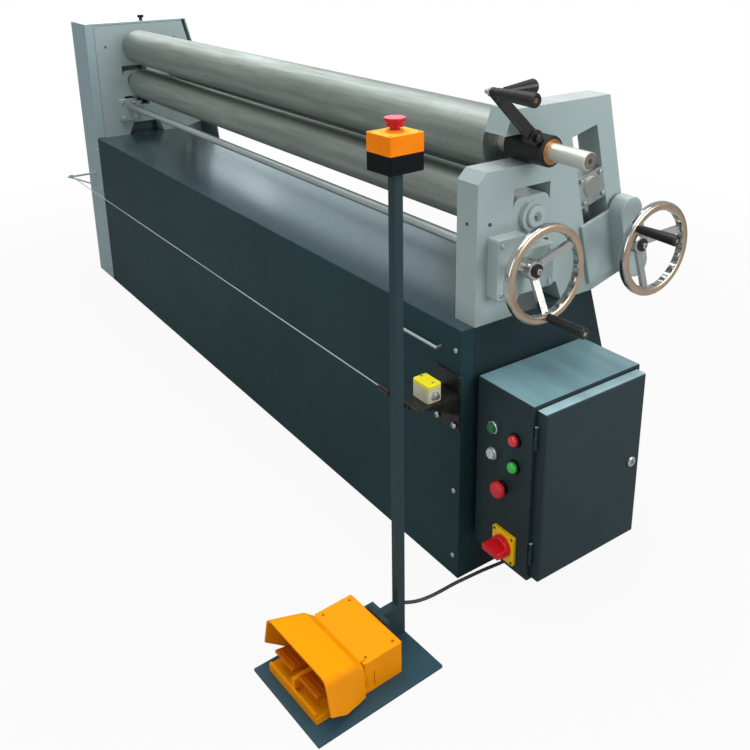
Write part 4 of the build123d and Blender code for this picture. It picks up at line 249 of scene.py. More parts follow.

# %% [markdown]
# ## Sprayed paint
# The cheeks and casing are sprayed light grey, the base and cabinet anthracite. Sprayed paint is never
# one flat colour: broad clouds of a slightly other shade run through it, the surface has a fine orange
# peel, and corners are rubbed to a lighter tone. Upright sheets are dull, but wiped flat tops keep a
# film of gloss that mirrors the room at a low angle, which a coat layer on upward faces gives. Those
# faces also get a paler tone: partly a little dust, and partly a painted sheen, the room's reflection
# painted into the colour.

# %% Paint recipe
def sprayed_paint(name, colour, clouded, rubbed, roughness, peel, wear=0.55, shine=0.3, dust_and_sheen=None):
    """Paint that is rubbed at its edges, with `peel` bumps to the metre, and dust with a painted sheen
    on its tops.
    """
    paint = Finish(name, roughness)
    paint.set("Specular IOR Level", shine)
    drift = paint.spread(paint.clouds(1.7, detail=2.0), 0.35, 0.65)
    tone = paint.blend(drift, shade(*colour), shade(*clouded))
    # The tops' paler tone is partly dust and partly a painted sheen, a reflection painted into the
    # colour.
    if dust_and_sheen:
        upward = paint.upward()
        wiped = paint.clouds(1.0, stretch=(3.0, 16.0, 16.0), detail=3.0)
        streaks = paint.spread(wiped, 0.3, 0.7, 0.65, 1.0)
        tone = paint.blend(paint.sums("MULTIPLY", upward, streaks), tone, shade(*dust_and_sheen))
        paint.set("Coat Weight", upward)
        paint.set("Coat Roughness", 0.20)
    speckle = paint.spread(paint.clouds(70.0), 0.45, 0.62, 0.0, wear)
    chips = paint.sums("MULTIPLY", paint.edges(0.0022), speckle)
    paint.set("Base Color", paint.blend(chips, tone, shade(*rubbed)))
    handled = paint.clouds(26.0, detail=3.0)
    paint.set("Roughness", paint.spread(handled, 0.3, 0.7, roughness - 0.03, roughness + 0.04))
    paint.dent(paint.clouds(peel, detail=2.0), 0.0003, 0.3)
    return paint


print("recipe ready:", sprayed_paint.__doc__)

# %% Paints
DARK_RUBBED = (84, 100, 103)
GREY_RUBBED = (200, 208, 206)
# Paler tone for the grey paints' upward faces: partly dust, partly a painted sheen of the bright room.
GREY_DUST_AND_SHEEN = (206, 216, 213)
CABINET_TONES = ((41, 57, 62), (36, 50, 54), (90, 106, 110))
# The base's top tone is a little dust and a painted sheen of the room.
anthracite = sprayed_paint("anthracite_base", (36, 53, 58), (32, 47, 51), DARK_RUBBED, 0.45, 520.0,
                           shine=0.12, dust_and_sheen=(48, 68, 74))
panel_coat = sprayed_paint("anthracite_panel", (37, 63, 67), (33, 56, 60), DARK_RUBBED, 0.50, 520.0,
                           shine=0.08)
light_grey = sprayed_paint("light_grey_frame", (160, 176, 176), (152, 169, 169), GREY_RUBBED, 0.44,
                           420.0, dust_and_sheen=GREY_DUST_AND_SHEEN)
# The cabinet's and the door's pale blue top tones are mostly a painted reflection of the sky, with a
# little dust.
cabinet_dark = sprayed_paint("cabinet_texture", *CABINET_TONES, 0.44, 900.0, shine=0.12,
                             dust_and_sheen=(130, 168, 176))
door_dark = sprayed_paint("door_texture", *CABINET_TONES, 0.44, 900.0, shine=0.12, dust_and_sheen=(170, 205, 212))
gearbox_blue = sprayed_paint("gearbox_enamel", (62, 90, 104), (54, 80, 93), (130, 140, 142), 0.35, 300.0)
paints = (anthracite, panel_coat, light_grey, cabinet_dark, door_dark, gearbox_blue)
print("paints:", [paint.material.name for paint in paints])

# %% [markdown]
# ## Two finishes in one solid
# Some solids carry two finishes: the casing's roof has a black oil cap, the pedestal's floor plate is
# blue-grey under a darker column, and the lower roll's end cap is painted round a plated bolt.
# Splitting the mesh would change the CAD node, so the finish is chosen by the place on the object
# instead.

# %% Casing and its oil cap
def height_mask(finish, level, soft=0.0004):
    return finish.spread(finish.split(finish.place)["Z"], level - soft, level + soft)


casing_grey = sprayed_paint("casing_grey", (154, 176, 179), (146, 168, 172), GREY_RUBBED, 0.44, 420.0,
                            dust_and_sheen=GREY_DUST_AND_SHEEN)
CASING_ROOF = 1.2525
above_roof = height_mask(casing_grey, CASING_ROOF)
casing_grey.set("Base Color", casing_grey.blend(above_roof, casing_grey.painted(), shade(20, 21, 22)))
print("the oil cap begins", CASING_ROOF, "m over the floor")

# %% Pedestal's plate and column
pedestal_coat = sprayed_paint("pedestal_coat", (52, 84, 96), (46, 75, 87), (92, 108, 114), 0.45, 700.0,
                              wear=0.7, shine=0.15)
PLATE_TOP = 0.0083
above_plate = height_mask(pedestal_coat, PLATE_TOP)
column_tone = pedestal_coat.blend(pedestal_coat.clouds(6.0), shade(44, 64, 68), shade(38, 55, 59))
pedestal_coat.set("Base Color", pedestal_coat.blend(above_plate, pedestal_coat.painted(), column_tone))
print("the column begins", PLATE_TOP, "m over the floor")

# %% End cap and its bolt
cap_grey = sprayed_paint("end_cap_grey", (164, 182, 181), (154, 173, 172), GREY_RUBBED, 0.42, 420.0)
CAP_BOLT_R = 0.0125
LOWER_ROLL_AXIS = (-0.128, 0.975)
past_bolt = cap_grey.beyond(LOWER_ROLL_AXIS, CAP_BOLT_R, soft=0.0004)
plated = cap_grey.blend(cap_grey.clouds(60.0), shade(176, 180, 180), shade(150, 154, 154))
cap_grey.set("Base Color", cap_grey.blend(past_bolt, plated, cap_grey.painted()))
cap_grey.set("Metallic", cap_grey.spread(past_bolt, 0.0, 1.0, 1.0, 0.0))
print("the bolt reaches", CAP_BOLT_R, "m from the axis")

# %% [markdown]
# ## The rolls
# A bending roll is turned and then ground, which leaves thousands of fine rings round it, and years of
# sheet metal rub long dull streaks along it. Noise that is squeezed along the roll makes the rings, and
# noise that is drawn out along it makes the streaks. Metal takes its colour from what it mirrors, so
# the base colour stays close to grey. The journals past the roll's face never touch a sheet: they stay
# bright, and only their sawn ends are dull, the top roll's even brown, since it is out in the open. The
# cross shafts are drawn bar, with long faint lines and no rings at all.

# %% Ground steel recipe
def ground_steel(name, bright, dull, roughness, rings, patches, mottle=0.5):
    """Steel with `rings` marks to the metre round X and worn patches that are drawn out along it."""
    steel = Finish(name, roughness, metallic=1.0)
    ring_marks = steel.clouds(1.0, stretch=(rings, 6.0, 6.0), detail=3.0)
    worn = steel.clouds(1.0, stretch=(patches, patches * 7, patches * 7), detail=3.0)
    drawn = steel.clouds(1.0, stretch=(patches * 3, 80.0, 80.0), detail=4.0)
    tone = steel.blend(steel.spread(worn, 0.36, 0.66, 0.0, mottle), shade(*bright), shade(*dull))
    tone = steel.blend(steel.spread(drawn, 0.40, 0.62, 0.0, mottle), tone, shade(*dull))
    ringed = steel.spread(ring_marks, 0.35, 0.75, 0.0, 0.35)
    steel.set("Base Color", steel.blend(ringed, tone, shade(*dull)))
    worn_rough = steel.spread(drawn, 0.3, 0.7, -0.04, 0.05)
    ring_rough = steel.spread(ring_marks, 0.2, 0.8, -0.03, 0.03)
    steel.set("Roughness", steel.sums("ADD", steel.sums("ADD", worn_rough, ring_rough), roughness))
    steel.dent(ring_marks, 0.0001, 0.4)
    return steel


print("recipe ready:", ground_steel.__doc__)

# %% Rolls and turned parts
roll_steel = ground_steel("ground_roll_steel", (168, 176, 170), (126, 134, 128), 0.46, 300.0, 1.6)
ROLL_FACE_END = 1.2485
TOP_ROLL_LEVEL = 1.08
along_roll = roll_steel.split(roll_steel.place)["X"]
journal = roll_steel.spread(along_roll, ROLL_FACE_END, ROLL_FACE_END + 0.0005)
tailward_face = roll_steel.spread(roll_steel.facing("X"), 0.80, 0.95)
sawn_end = roll_steel.sums("MULTIPLY", journal, tailward_face)
bright_journal = roll_steel.blend(journal, roll_steel.painted(), shade(216, 218, 210))
on_top_roll = height_mask(roll_steel, TOP_ROLL_LEVEL)
end_tone = roll_steel.blend(on_top_roll, shade(160, 163, 158), shade(132, 126, 116))
roll_steel.set("Base Color", roll_steel.blend(sawn_end, bright_journal, end_tone))
turned_steel = ground_steel("turned_steel", (206, 207, 202), (174, 175, 168), 0.28, 900.0, 6.0,
                            mottle=0.3)
print("mixed", roll_steel.material.name, "and", turned_steel.material.name)

# %% Drawn bar
bar_steel = Finish("drawn_bar", 0.4, metallic=0.85)
bar_lines = bar_steel.clouds(1.0, stretch=(3.0, 240.0, 240.0), detail=3.0)
lined = bar_steel.spread(bar_lines, 0.35, 0.65)
bar_steel.set("Base Color", bar_steel.blend(lined, shade(196, 204, 201), shade(166, 175, 173)))
bar_steel.set("Roughness", bar_steel.spread(bar_lines, 0.3, 0.7, 0.35, 0.46))
print("mixed", bar_steel.material.name)

# %% [markdown]
# ## Zinc, black oxide, bronze and chrome
# Screws and blocks are zinc plated: a pale metal with soft crystal spangles. The lever and sleeve are
# black oxide steel, half way between paint and metal. The bush is bronze, and the handwheels are
# chromed with a warm polished face. That face is found by its direction and its distance from the
# wheel's axis.

# %% Zinc and black oxide
zinc = Finish("zinc_plate", 0.36, metallic=1.0)
spangle = zinc.cells(160.0)
zinc.set("Base Color", zinc.blend(spangle, shade(198, 202, 203), shade(166, 171, 172)))
zinc.set("Roughness", zinc.spread(zinc.clouds(55.0), 0.3, 0.7, 0.27, 0.44))
zinc.dent(zinc.clouds(400.0), 0.0001, 0.3)

black_oxide = Finish("black_oxide", 0.42, metallic=0.4)
speckle = black_oxide.spread(black_oxide.clouds(60.0), 0.4, 0.6)
rubbed = black_oxide.sums("MULTIPLY", black_oxide.edges(0.002), speckle)
oxide = black_oxide.blend(black_oxide.clouds(18.0, detail=5.0), shade(21, 22, 23), shade(36, 35, 33))
black_oxide.set("Base Color", black_oxide.blend(rubbed, oxide, shade(104, 101, 96)))
black_oxide.set("Roughness", black_oxide.spread(black_oxide.clouds(30.0), 0.3, 0.7, 0.34, 0.52))
black_oxide.dent(black_oxide.clouds(300.0), 0.0002, 0.4)
print("mixed", zinc.material.name, "and", black_oxide.material.name)


# %% Bronze
def bush_metal(name, clean, oiled):
    metal = Finish(name, 0.28, metallic=1.0)
    metal.set("Base Color", metal.blend(metal.clouds(45.0, detail=4.0), shade(*clean), shade(*oiled)))
    metal.set("Roughness", metal.spread(metal.clouds(90.0), 0.3, 0.7, 0.22, 0.38))
    metal.dent(metal.clouds(1.0, stretch=(900.0, 20.0, 20.0)), 0.0001, 0.5)
    return metal


bronze = bush_metal("bronze_bush", (224, 164, 112), (180, 114, 66))
oiled_bronze = bush_metal("oiled_bronze", (74, 58, 44), (46, 38, 31))
print("mixed", bronze.material.name, "and", oiled_bronze.material.name)

# %% Chrome
FRONT_SHAFT = (-0.185, 0.867)
REAR_SHAFT = (0.18125, 0.85775)
RIM_INNER = 0.1025


def polished_wheel(name, shaft):
    """Chrome with a warm face on the rim of the wheel that sits on a shaft along X."""
    chrome = Finish(name, 0.14, metallic=1.0)
    at_rim = chrome.beyond(shaft, RIM_INNER, soft=0.002)
    warm = chrome.sums("MULTIPLY", at_rim, chrome.spread(chrome.facing("X"), 0.55, 0.9))
    steel = chrome.blend(chrome.clouds(35.0), shade(206, 207, 203), shade(170, 171, 166))
    face = chrome.blend(chrome.clouds(22.0), shade(206, 182, 158), shade(182, 156, 134))
    chrome.set("Base Color", chrome.blend(warm, steel, face))
    rough = chrome.spread(chrome.clouds(40.0, detail=5.0), 0.3, 0.7, 0.10, 0.24)
    chrome.set("Roughness", chrome.sums("ADD", rough, chrome.sums("MULTIPLY", warm, 0.16)))
    chrome.dent(chrome.clouds(160.0), 0.0002, 0.25)
    return chrome


front_chrome = polished_wheel("front_wheel_chrome", FRONT_SHAFT)
rear_chrome = polished_wheel("rear_wheel_chrome", REAR_SHAFT)
print("mixed", front_chrome.material.name, "and", rear_chrome.material.name)

# %% [markdown]
# ## Plastics
# Grips, buttons, lamps and switch housings are moulded. A moulding has a faint grain from its tool, a
# slow drift of tone, and a soft gloss. One recipe with other colours covers them. The stop box, its
# button and the foot switch are painted paler on their upward faces: a painted highlight of the lamps
# above.
# The lamps get a clear coat over a deep colour so that they look like lenses.

# %% Moulding recipe
def moulded(name, colour, drifted, roughness, grain=900.0, shine=0.35, painted_highlight=None):
    """Plastic with `grain` bumps to the metre, and a paler painted highlight on its top where one is
    given.
    """
    plastic = Finish(name, roughness)
    plastic.set("Specular IOR Level", shine)
    drift = plastic.spread(plastic.clouds(14.0, detail=4.0), 0.3, 0.7)
    tone = plastic.blend(drift, shade(*colour), shade(*drifted))
    # Upward faces are painted paler: a painted highlight.
    if painted_highlight:
        tone = plastic.blend(plastic.upward(), tone, shade(*painted_highlight))
    plastic.set("Base Color", tone)
    handled = plastic.clouds(60.0)
    plastic.set("Roughness", plastic.spread(handled, 0.3, 0.7, roughness - 0.05, roughness + 0.07))
    plastic.dent(plastic.clouds(grain, detail=1.0), 0.00012, 0.4)
    return plastic


print("recipe ready:", moulded.__doc__)

# %% Moulded plastics
grip_black = moulded("grip_moulding", (22, 22, 24), (34, 34, 36), 0.30)
switch_black = moulded("switch_black_moulding", (11, 12, 14), (15, 15, 18), 0.46, shine=0.10)
# The top tones given here are painted highlights on upward faces.
foot_orange = moulded("foot_switch_orange", (243, 152, 0), (236, 142, 0), 0.46, grain=600.0, shine=0.12,
                      painted_highlight=(244, 158, 0))
stop_orange = moulded("stop_box_orange", (252, 138, 0), (246, 127, 0), 0.46, shine=0.12,
                      painted_highlight=(250, 190, 60))
tread_orange = moulded("tread_orange", (206, 112, 0), (190, 98, 0), 0.50, grain=500.0, shine=0.12)
stop_red = moulded("stop_red_moulding", (206, 20, 32), (188, 12, 24), 0.30)
palm_red = moulded("palm_button_red", (192, 12, 22), (174, 8, 16), 0.30, painted_highlight=(238, 122, 134))
mushroom_red = moulded("mushroom_red_moulding", (214, 40, 58), (196, 26, 44), 0.33)
button_green = moulded("button_green_moulding", (28, 118, 52), (20, 98, 42), 0.32)
button_white = moulded("button_white_moulding", (205, 208, 210), (188, 192, 195), 0.34)
plate_yellow = moulded("switch_plate_yellow", (250, 206, 8), (242, 192, 0), 0.36)
lid_yellow = moulded("trip_lid_yellow", (236, 226, 44), (222, 208, 30), 0.36)
switch_beige = moulded("trip_switch_beige", (206, 202, 182), (190, 185, 162), 0.42, grain=400.0)
cable_rubber = moulded("cable_rubber", (62, 64, 66), (48, 50, 52), 0.55, grain=1500.0)
seal_rubber = moulded("seal_rubber", (17, 17, 18), (24, 24, 25), 0.65)
duct_grey = moulded("duct_grey", (150, 155, 158), (138, 143, 146), 0.5)
print("mixed", grip_black.material.name, "and the plastics down to", duct_grey.material.name)

# %% Lamp lenses
lens = moulded("lamp_lenses", (30, 190, 60), (18, 168, 46), 0.16)
LAMP_SPLIT = 0.45
lens.set("Base Color", lens.blend(height_mask(lens, LAMP_SPLIT), lens.painted(), shade(208, 18, 28)))
lens.set("Coat Weight", 0.8)
lens.set("Coat Roughness", 0.08)
print("lenses are red above", LAMP_SPLIT, "m and green below")

# %% [markdown]
# ## Painting the CAD nodes
# Each node gets one of the finishes. A list of which finish goes where reads like a paint shop's job
# card, and the painting's last line names any node that was forgotten.

# %% Paint job card
job_card = {
    anthracite: ["base_shell"],
    panel_coat: ["front_panel"],
    light_grey: ["head_cheek", "tail_cheek", "front_worm_cover", "rear_worm_housing", "lower_blocks",
                 "head_shaft_brackets", "wire_bracket"],
    casing_grey: ["head_casing"],
    cabinet_dark: ["cabinet_box"],
    door_dark: ["cabinet_door"],
    pedestal_coat: ["pedestal_stand"],
    gearbox_blue: ["gearbox", "drive_motor"],
    roll_steel: ["top_roll", "lower_roll", "rear_roll"],
    cap_grey: ["lower_end_cap"],
    turned_steel: ["motor_rotor"],
    bar_steel: ["panel_rod", "front_shaft", "rear_shaft", "trip_wire"],
    zinc: ["fixing_screws", "rear_blocks", "door_lock", "button_bezels", "top_pivot_bearing",
           "lower_nut_head", "lower_nut_tail", "rear_nut_head", "rear_nut_tail"],
    black_oxide: ["top_sleeve", "release_lever", "trip_bracket", "wire_fitting"],
    bronze: ["top_bush"],
    oiled_bronze: ["lower_bushes"],
    front_chrome: ["front_handwheel"],
    rear_chrome: ["rear_handwheel"],
    grip_black: ["lever_grips", "front_grip", "rear_grip"],
    switch_black: ["estop_box"],
    foot_orange: ["pedal_base", "pedal_hood"],
    tread_orange: ["pedal_left", "pedal_right"],
    stop_orange: ["estop_lid"],
    stop_red: ["main_switch_knob"],
    palm_red: ["estop_button"],
    mushroom_red: ["cabinet_estop"],
    button_green: ["green_button"],
    button_white: ["white_button"],
    lens: ["signal_lamps"],
    plate_yellow: ["main_switch_plate"],
    lid_yellow: ["trip_switch_lid"],
    switch_beige: ["trip_switch"],
    cable_rubber: ["pedal_cable"],
}
print("finishes on the card:", len(job_card))

# %% Painting
bare = set(nodes)
for finish, members in job_card.items():
    for name in members:
        nodes[name].data.materials.clear()
        nodes[name].data.materials.append(finish.material)
        bare.discard(name)
print("nodes left bare:", sorted(bare))

# %% Dressing the cable
rubber_cable.data.materials.append(cable_rubber.material)
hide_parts("pedal_cable")
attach(rubber_cable, "frame")
print("the cable stands for the CAD node pedal_cable")

# %% [markdown]
# ## Taking the razor edge off
# Sawn plate and folded sheet never end in a perfect edge, and a thin highlight along each corner is
# what makes metal look solid. A CAD node arrives as loose triangles, so a Weld modifier joins them
# before a Bevel modifier can find the edges. A third modifier turns the shading of the flats straight
# again. The base's thin sheets are left out: they are full of holes, and a bevel would only smear the
# light along their long triangles.

# %% Rounded corners
def soften(name, width):
    weld = nodes[name].modifiers.new("join triangles", "WELD")
    weld.merge_threshold = 0.00001
    bevel = nodes[name].modifiers.new("rounded corners", "BEVEL")
    bevel.width = width
    bevel.segments = 2
    bevel.limit_method = "ANGLE"
    bevel.angle_limit = math.radians(40)
    straight = nodes[name].modifiers.new("straight flats", "WEIGHTED_NORMAL")
    straight.keep_sharp = True


corner_widths = {
    0.0018: ["head_cheek", "tail_cheek", "lower_blocks", "rear_blocks", "gearbox"],
    0.0012: ["head_casing", "release_lever", "rear_worm_housing"],
    0.0008: ["trip_bracket", "pedestal_stand"],
}
for width, members in corner_widths.items():
    for name in members:
        soften(name, width)
print("softened", sum(map(len, corner_widths.values())), "nodes")

# %% [markdown]
# ## Small fittings: the helpers
# Bolts, screws and rings are turned parts or hexagons. A turned part is an outline that is spun a full
# turn, and a hexagon is a six-sided cone with bevelled edges. Each is made standing on the origin and
# is then moved to its seat, so the finished object itself stays at the origin.

# %% Turned parts
UP = (0, 0, 1)


def seat_at(place, along):
    turn = Vector(UP).rotation_difference(Vector(along))
    return Matrix.Translation(place) @ turn.to_matrix().to_4x4()


def turning(outline, place, along, steps=32):
    """Spins an outline of (radius, height) pairs about +Z and moves it to its seat."""
    shape = bmesh.new()
    line = [shape.verts.new((radius, 0, height)) for radius, height in outline]
    joined = [shape.edges.new(pair) for pair in zip(line, line[1:])]
    bmesh.ops.spin(shape, geom=line + joined, axis=UP, angle=math.tau, steps=steps, use_merge=True)
    bmesh.ops.remove_doubles(shape, verts=shape.verts, dist=1e-6)
    bmesh.ops.recalc_face_normals(shape, faces=shape.faces)
    shape.transform(seat_at(place, along))
    return shape


print("helper ready:", turning.__doc__)


# %% Screw heads, washers and collars
def socket_screw(radius, height, place, along):
    """A cap screw's head with a round socket sunk into it."""
    hole = radius * 0.5
    soft = radius * 0.12
    outline = [(0, height * 0.35), (hole, height * 0.35), (hole, height), (radius - soft, height)]
    outline += [(radius, height - soft), (radius, 0), (0, 0)]
    return turning(outline, place, along)


def washer(inner, outer, thick, place, along):
    outline = [(inner, 0), (outer, 0), (outer, thick), (inner, thick), (inner, 0)]
    return turning(outline, place, along)


def collar(inner, outer, lip, rim, height, place, along):
    """A ring as high as `height`, whose outside is cut back above `lip` to the radius `rim`."""
    outline = [(inner, 0), (outer, 0), (outer, lip), (rim, height), (inner, height), (inner, 0)]
    return turning(outline, place, along)


print("helpers ready:", [helper.__name__ for helper in (socket_screw, washer, collar)])


# %% Hexagons and rounded blocks
def round_edges(shape, offset):
    bmesh.ops.bevel(shape, geom=shape.edges[:], offset=offset, affect="EDGES", segments=2, profile=0.5,
                    material=-1)


def hexagon(across, height, place, along):
    shape = bmesh.new()
    corner = across / math.sqrt(3)
    bmesh.ops.create_cone(shape, cap_ends=True, segments=6, radius1=corner, radius2=corner, depth=height,
                          matrix=Matrix.Translation((0, 0, height / 2)))
    round_edges(shape, height * 0.12)
    shape.transform(seat_at(place, along))
    return shape


def block(size, place, bevel):
    """A rounded bar or pad, `size` long on each axis, with its middle at `place`."""
    shape = bmesh.new()
    bmesh.ops.create_cube(shape, size=1.0)
    bmesh.ops.scale(shape, vec=size, verts=shape.verts)
    round_edges(shape, bevel)
    bmesh.ops.translate(shape, vec=place, verts=shape.verts)
    return shape


print("helpers ready:", [helper.__name__ for helper in (round_edges, hexagon, block)])


# %% Joining shapes to a piece
def fit(name, shapes, body, finish, slot):
    """Joins shapes to one piece that rides on a body."""
    whole = bmesh.new()
    for shape in shapes:
        part = bpy.data.meshes.new("part")
        shape.to_mesh(part)
        shape.free()
        whole.from_mesh(part)
        bpy.data.meshes.remove(part)
    mesh = bpy.data.meshes.new(name)
    whole.to_mesh(mesh)
    whole.free()
    mesh.shade_smooth()
    mesh.set_sharp_from_angle(angle=math.radians(35))
    mesh.materials.append(finish.material)
    piece = bpy.data.objects.new(name, mesh)
    scene.collection.objects.link(piece)
    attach(piece, body)
    print(name, "rides on", body, "with", len(mesh.polygons), "faces")


print("helper ready:", fit.__name__)

# %% [markdown]
# ## Handwheel hubs and the lever
# Each handwheel is held on its shaft by a cap screw over a dark washer. The lever is pinched on its
# sleeve by a bolt through its boss, and its long grip shows a bronze insert at one end and a nut on its
# stud at the other.

# %% Hub screws
TAILWARD = (1, 0, 0)
HUB_WASHER = 0.003
for side, reach, shaft in (("front", 1.4315, FRONT_SHAFT), ("rear", 1.4435, REAR_SHAFT)):
    hub = Vector((reach, *shaft))
    ring = washer(0.004, 0.0175, HUB_WASHER, hub, TAILWARD)
    fit(f"{side}_hub_washer", [ring], f"{side}_wheel", black_oxide, "dark_steel")
    head = socket_screw(0.008, 0.008, hub + Vector((HUB_WASHER, 0, 0)), TAILWARD)
    fit(f"{side}_hub_screw", [head], f"{side}_wheel", turned_steel, "machined_steel")

# %% Lever bolt
HEADWARD = (-1, 0, 0)
LEVER_BOSS = Vector((1.3915, -0.1657, 1.1789))
BOSS_WASHER = 0.002
boss_bolt = [washer(0.004, 0.0125, BOSS_WASHER, LEVER_BOSS, TAILWARD)]
boss_bolt.append(hexagon(0.019, 0.009, LEVER_BOSS + Vector((BOSS_WASHER, 0, 0)), TAILWARD))
fit("lever_boss_bolt", boss_bolt, "release_lever", black_oxide, "dark_steel")

# %% Grip insert and stud nut
GRIP_AXIS = (-0.2873, 1.2947)
GRIP_DIMPLE = (1.5035, *GRIP_AXIS)
LEVER_TIP = (1.3715, *GRIP_AXIS)
INSERT = [(0.0022, 0.0004), (0.0055, 0.0004), (0.0055, 0.003), (0.0028, 0.003), (0.0022, 0.0024),
          (0.0022, 0.0004)]
STUD_END = [(0, 0), (0.006, 0), (0.006, 0.0205), (0.0048, 0.0215), (0, 0.0215)]
fit("lever_grip_insert", [turning(INSERT, GRIP_DIMPLE, TAILWARD)], "release_lever", bronze, "bronze")
stud_nut = [hexagon(0.019, 0.009, LEVER_TIP, HEADWARD), turning(STUD_END, LEVER_TIP, HEADWARD)]
fit("lever_stud_nut", stud_nut, "release_lever", zinc, "zinc_steel")

# %% [markdown]
# ## Bolts on the moving blocks and the head brackets
# The rear roll's tail block is closed by four bolts round its axle, and these ride up and down with the
# block. At the head end the brackets of the two cross shafts are screwed to the cheek.

# %% Block bolts
LEAN = math.radians(14.5)
REAR_ROLL = Vector((1.3475, 0.083, 1.010))
BOLT_WASHER = 0.0015
down_way = Vector((0, math.sin(LEAN), -math.cos(LEAN)))
back_way = Vector((0, math.cos(LEAN), math.sin(LEAN)))
seats = [REAR_ROLL + down_way * down + back_way * back
         for down in (-0.029, 0.032)
         for back in (-0.034, 0.034)]
bolts = [washer(0.003, 0.0085, BOLT_WASHER, seat, TAILWARD) for seat in seats]
bolts += [hexagon(0.013, 0.0055, seat + Vector((BOLT_WASHER, 0, 0)), TAILWARD) for seat in seats]
fit("rear_block_bolts", bolts, "rear_carriage", zinc, "zinc_steel")

# %% Bracket screws
BRACKET_FACE = -1.3135
seats = [(BRACKET_FACE, y + side, z + level)
         for y, z in (FRONT_SHAFT, REAR_SHAFT)
         for side in (-0.027, 0.027)
         for level in (-0.056, 0.015)]
screws = [socket_screw(0.0065, 0.006, seat, TAILWARD) for seat in seats]
fit("bracket_screws", screws, "frame", zinc, "zinc_steel")

# %% [markdown]
# ## The oil cap
# Fingers turn the cap on the casing's roof by small ribs round its edge. One rib is a rounded bar, and
# a turn about the cap's axis puts the others in their places.

# %% Oil cap ribs
CAP_AXIS = Vector((-1.3845, -0.060, 0.0))
CAP_R = 0.013
CAP_MIDDLE = 1.2715
CAP_RIBS = 16
CAP_RIB_SIZE = (0.0022, 0.0026, 0.0105)
ribs = []
for number in range(CAP_RIBS):
    rib = block(CAP_RIB_SIZE, (CAP_R, 0, CAP_MIDDLE), 0.0007)
    turn = Matrix.Rotation(math.tau * number / CAP_RIBS, 4, "Z")
    rib.transform(Matrix.Translation(CAP_AXIS) @ turn)
    ribs.append(rib)
fit("oil_cap_ribs", ribs, "frame", switch_black, "switch_black")

# %% [markdown]
# ## The cabinet's controls
# Lamps and the emergency stop sit in black collars, the main switch's plate has a screw in each corner,
# and the door's lock takes a three-sided key. A rubber seal runs round the box's mouth, under the
# door's rim: a face is inset, its middle is taken out, and the frame that is left is extruded. The
# cable comes in by a gland underneath.

# %% Control collars
OPERATORWARD = (0, -1, 0)
CABINET_SIDE = -0.301
LAMP_X = 1.5035
CONTROL_ROWS = (0.486, 0.413)
STOP_X = 1.4655
STOP_Z = 0.334
lamps = [(LAMP_X, CABINET_SIDE, row) for row in CONTROL_ROWS]
collars = [collar(0.0142, 0.0175, 0.005, 0.0163, 0.0065, lamp, OPERATORWARD) for lamp in lamps]
stop = (STOP_X, CABINET_SIDE, STOP_Z)
collars.append(collar(0.0126, 0.0175, 0.005, 0.0162, 0.0068, stop, OPERATORWARD))
fit("control_collars", collars, "frame", switch_black, "switch_black")

# %% Switch plate screws
SWITCH_X = 1.4795
SWITCH_Z = 0.175
SWITCH_PLATE = -0.309
corners = [(SWITCH_X + side, SWITCH_PLATE, SWITCH_Z + level)
           for side in (-0.031, 0.031)
           for level in (-0.034, 0.034)]
screws = [socket_screw(0.0034, 0.002, corner, OPERATORWARD) for corner in corners]
fit("switch_plate_screws", screws, "frame", black_oxide, "dark_steel")

# %% Lock
LOCK_FACE = (1.5934, 0.020, 0.350)
key_way = bmesh.new()
bmesh.ops.create_cone(key_way, cap_ends=True, segments=3, radius1=0.0042, radius2=0.0038, depth=0.0028)
round_edges(key_way, 0.0004)
key_way.transform(seat_at(LOCK_FACE, TAILWARD))
fit("lock_key_way", [key_way], "door_lock", zinc, "zinc_steel")

# %% Door seal
BOX_LIP = 1.5565
SEAL_CORNERS = ((-0.2908, 0.1235), (0.0565, 0.1235), (0.0565, 0.5885), (-0.2908, 0.5885))
SEAL_WIDTH = 0.008
SEAL_HEIGHT = 0.0017
seal = bmesh.new()
face = seal.faces.new([seal.verts.new((BOX_LIP, y, z)) for y, z in SEAL_CORNERS])
face.normal_update()
bmesh.ops.inset_region(seal, faces=[face], thickness=SEAL_WIDTH, use_boundary=True, use_even_offset=True)
bmesh.ops.delete(seal, geom=[face], context="FACES_ONLY")
raised = bmesh.ops.extrude_face_region(seal, geom=seal.faces[:])["geom"]
lifted = [item for item in raised if isinstance(item, bmesh.types.BMVert)]
bmesh.ops.translate(seal, vec=(SEAL_HEIGHT, 0, 0), verts=lifted)
bmesh.ops.recalc_face_normals(seal, faces=seal.faces)
fit("door_seal", [seal], "frame", seal_rubber, "switch_black")

# %% Cable gland
GLAND_AXIS = (1.385, -0.144)
GLAND_NUT = [(0.0058, 0), (0.0092, 0), (0.0112, 0.002), (0.0112, 0.0085), (0.0095, 0.0095),
             (0.0058, 0.0095), (0.0058, 0)]
gland = [hexagon(0.024, 0.006, (*GLAND_AXIS, 0.1077), UP), turning(GLAND_NUT, (*GLAND_AXIS, 0.0975), UP)]
fit("cabinet_gland", gland, "frame", switch_black, "switch_black")

# %% [markdown]
# ## Inside the cabinet
# The door opens, so the box can't be empty. A plated sheet on four studs carries the gear of such a
# drive: three contactors with a breaker on the upper rail, a row of terminals on the lower one, a
# control transformer, and slotted ducts for the wires. Everything is a rounded block that stands out
# from the sheet, so one helper places it by its depth and by its middle on the sheet. Behind the
# operator's buttons sit their contact blocks.

# %% Mounting plate and rails
PLATE_FACE = 1.380
PLATE_THICK = 0.002
PLATE_STUDS = [(y, z) for y in (-0.222, 0.022) for z in (0.162, 0.550)]
STUD = [(0, 0), (0.005, 0), (0.005, 0.0115), (0, 0.0115)]
BOX_BACK = 1.3685
UPPER_RAIL = 0.460
LOWER_RAIL = 0.262


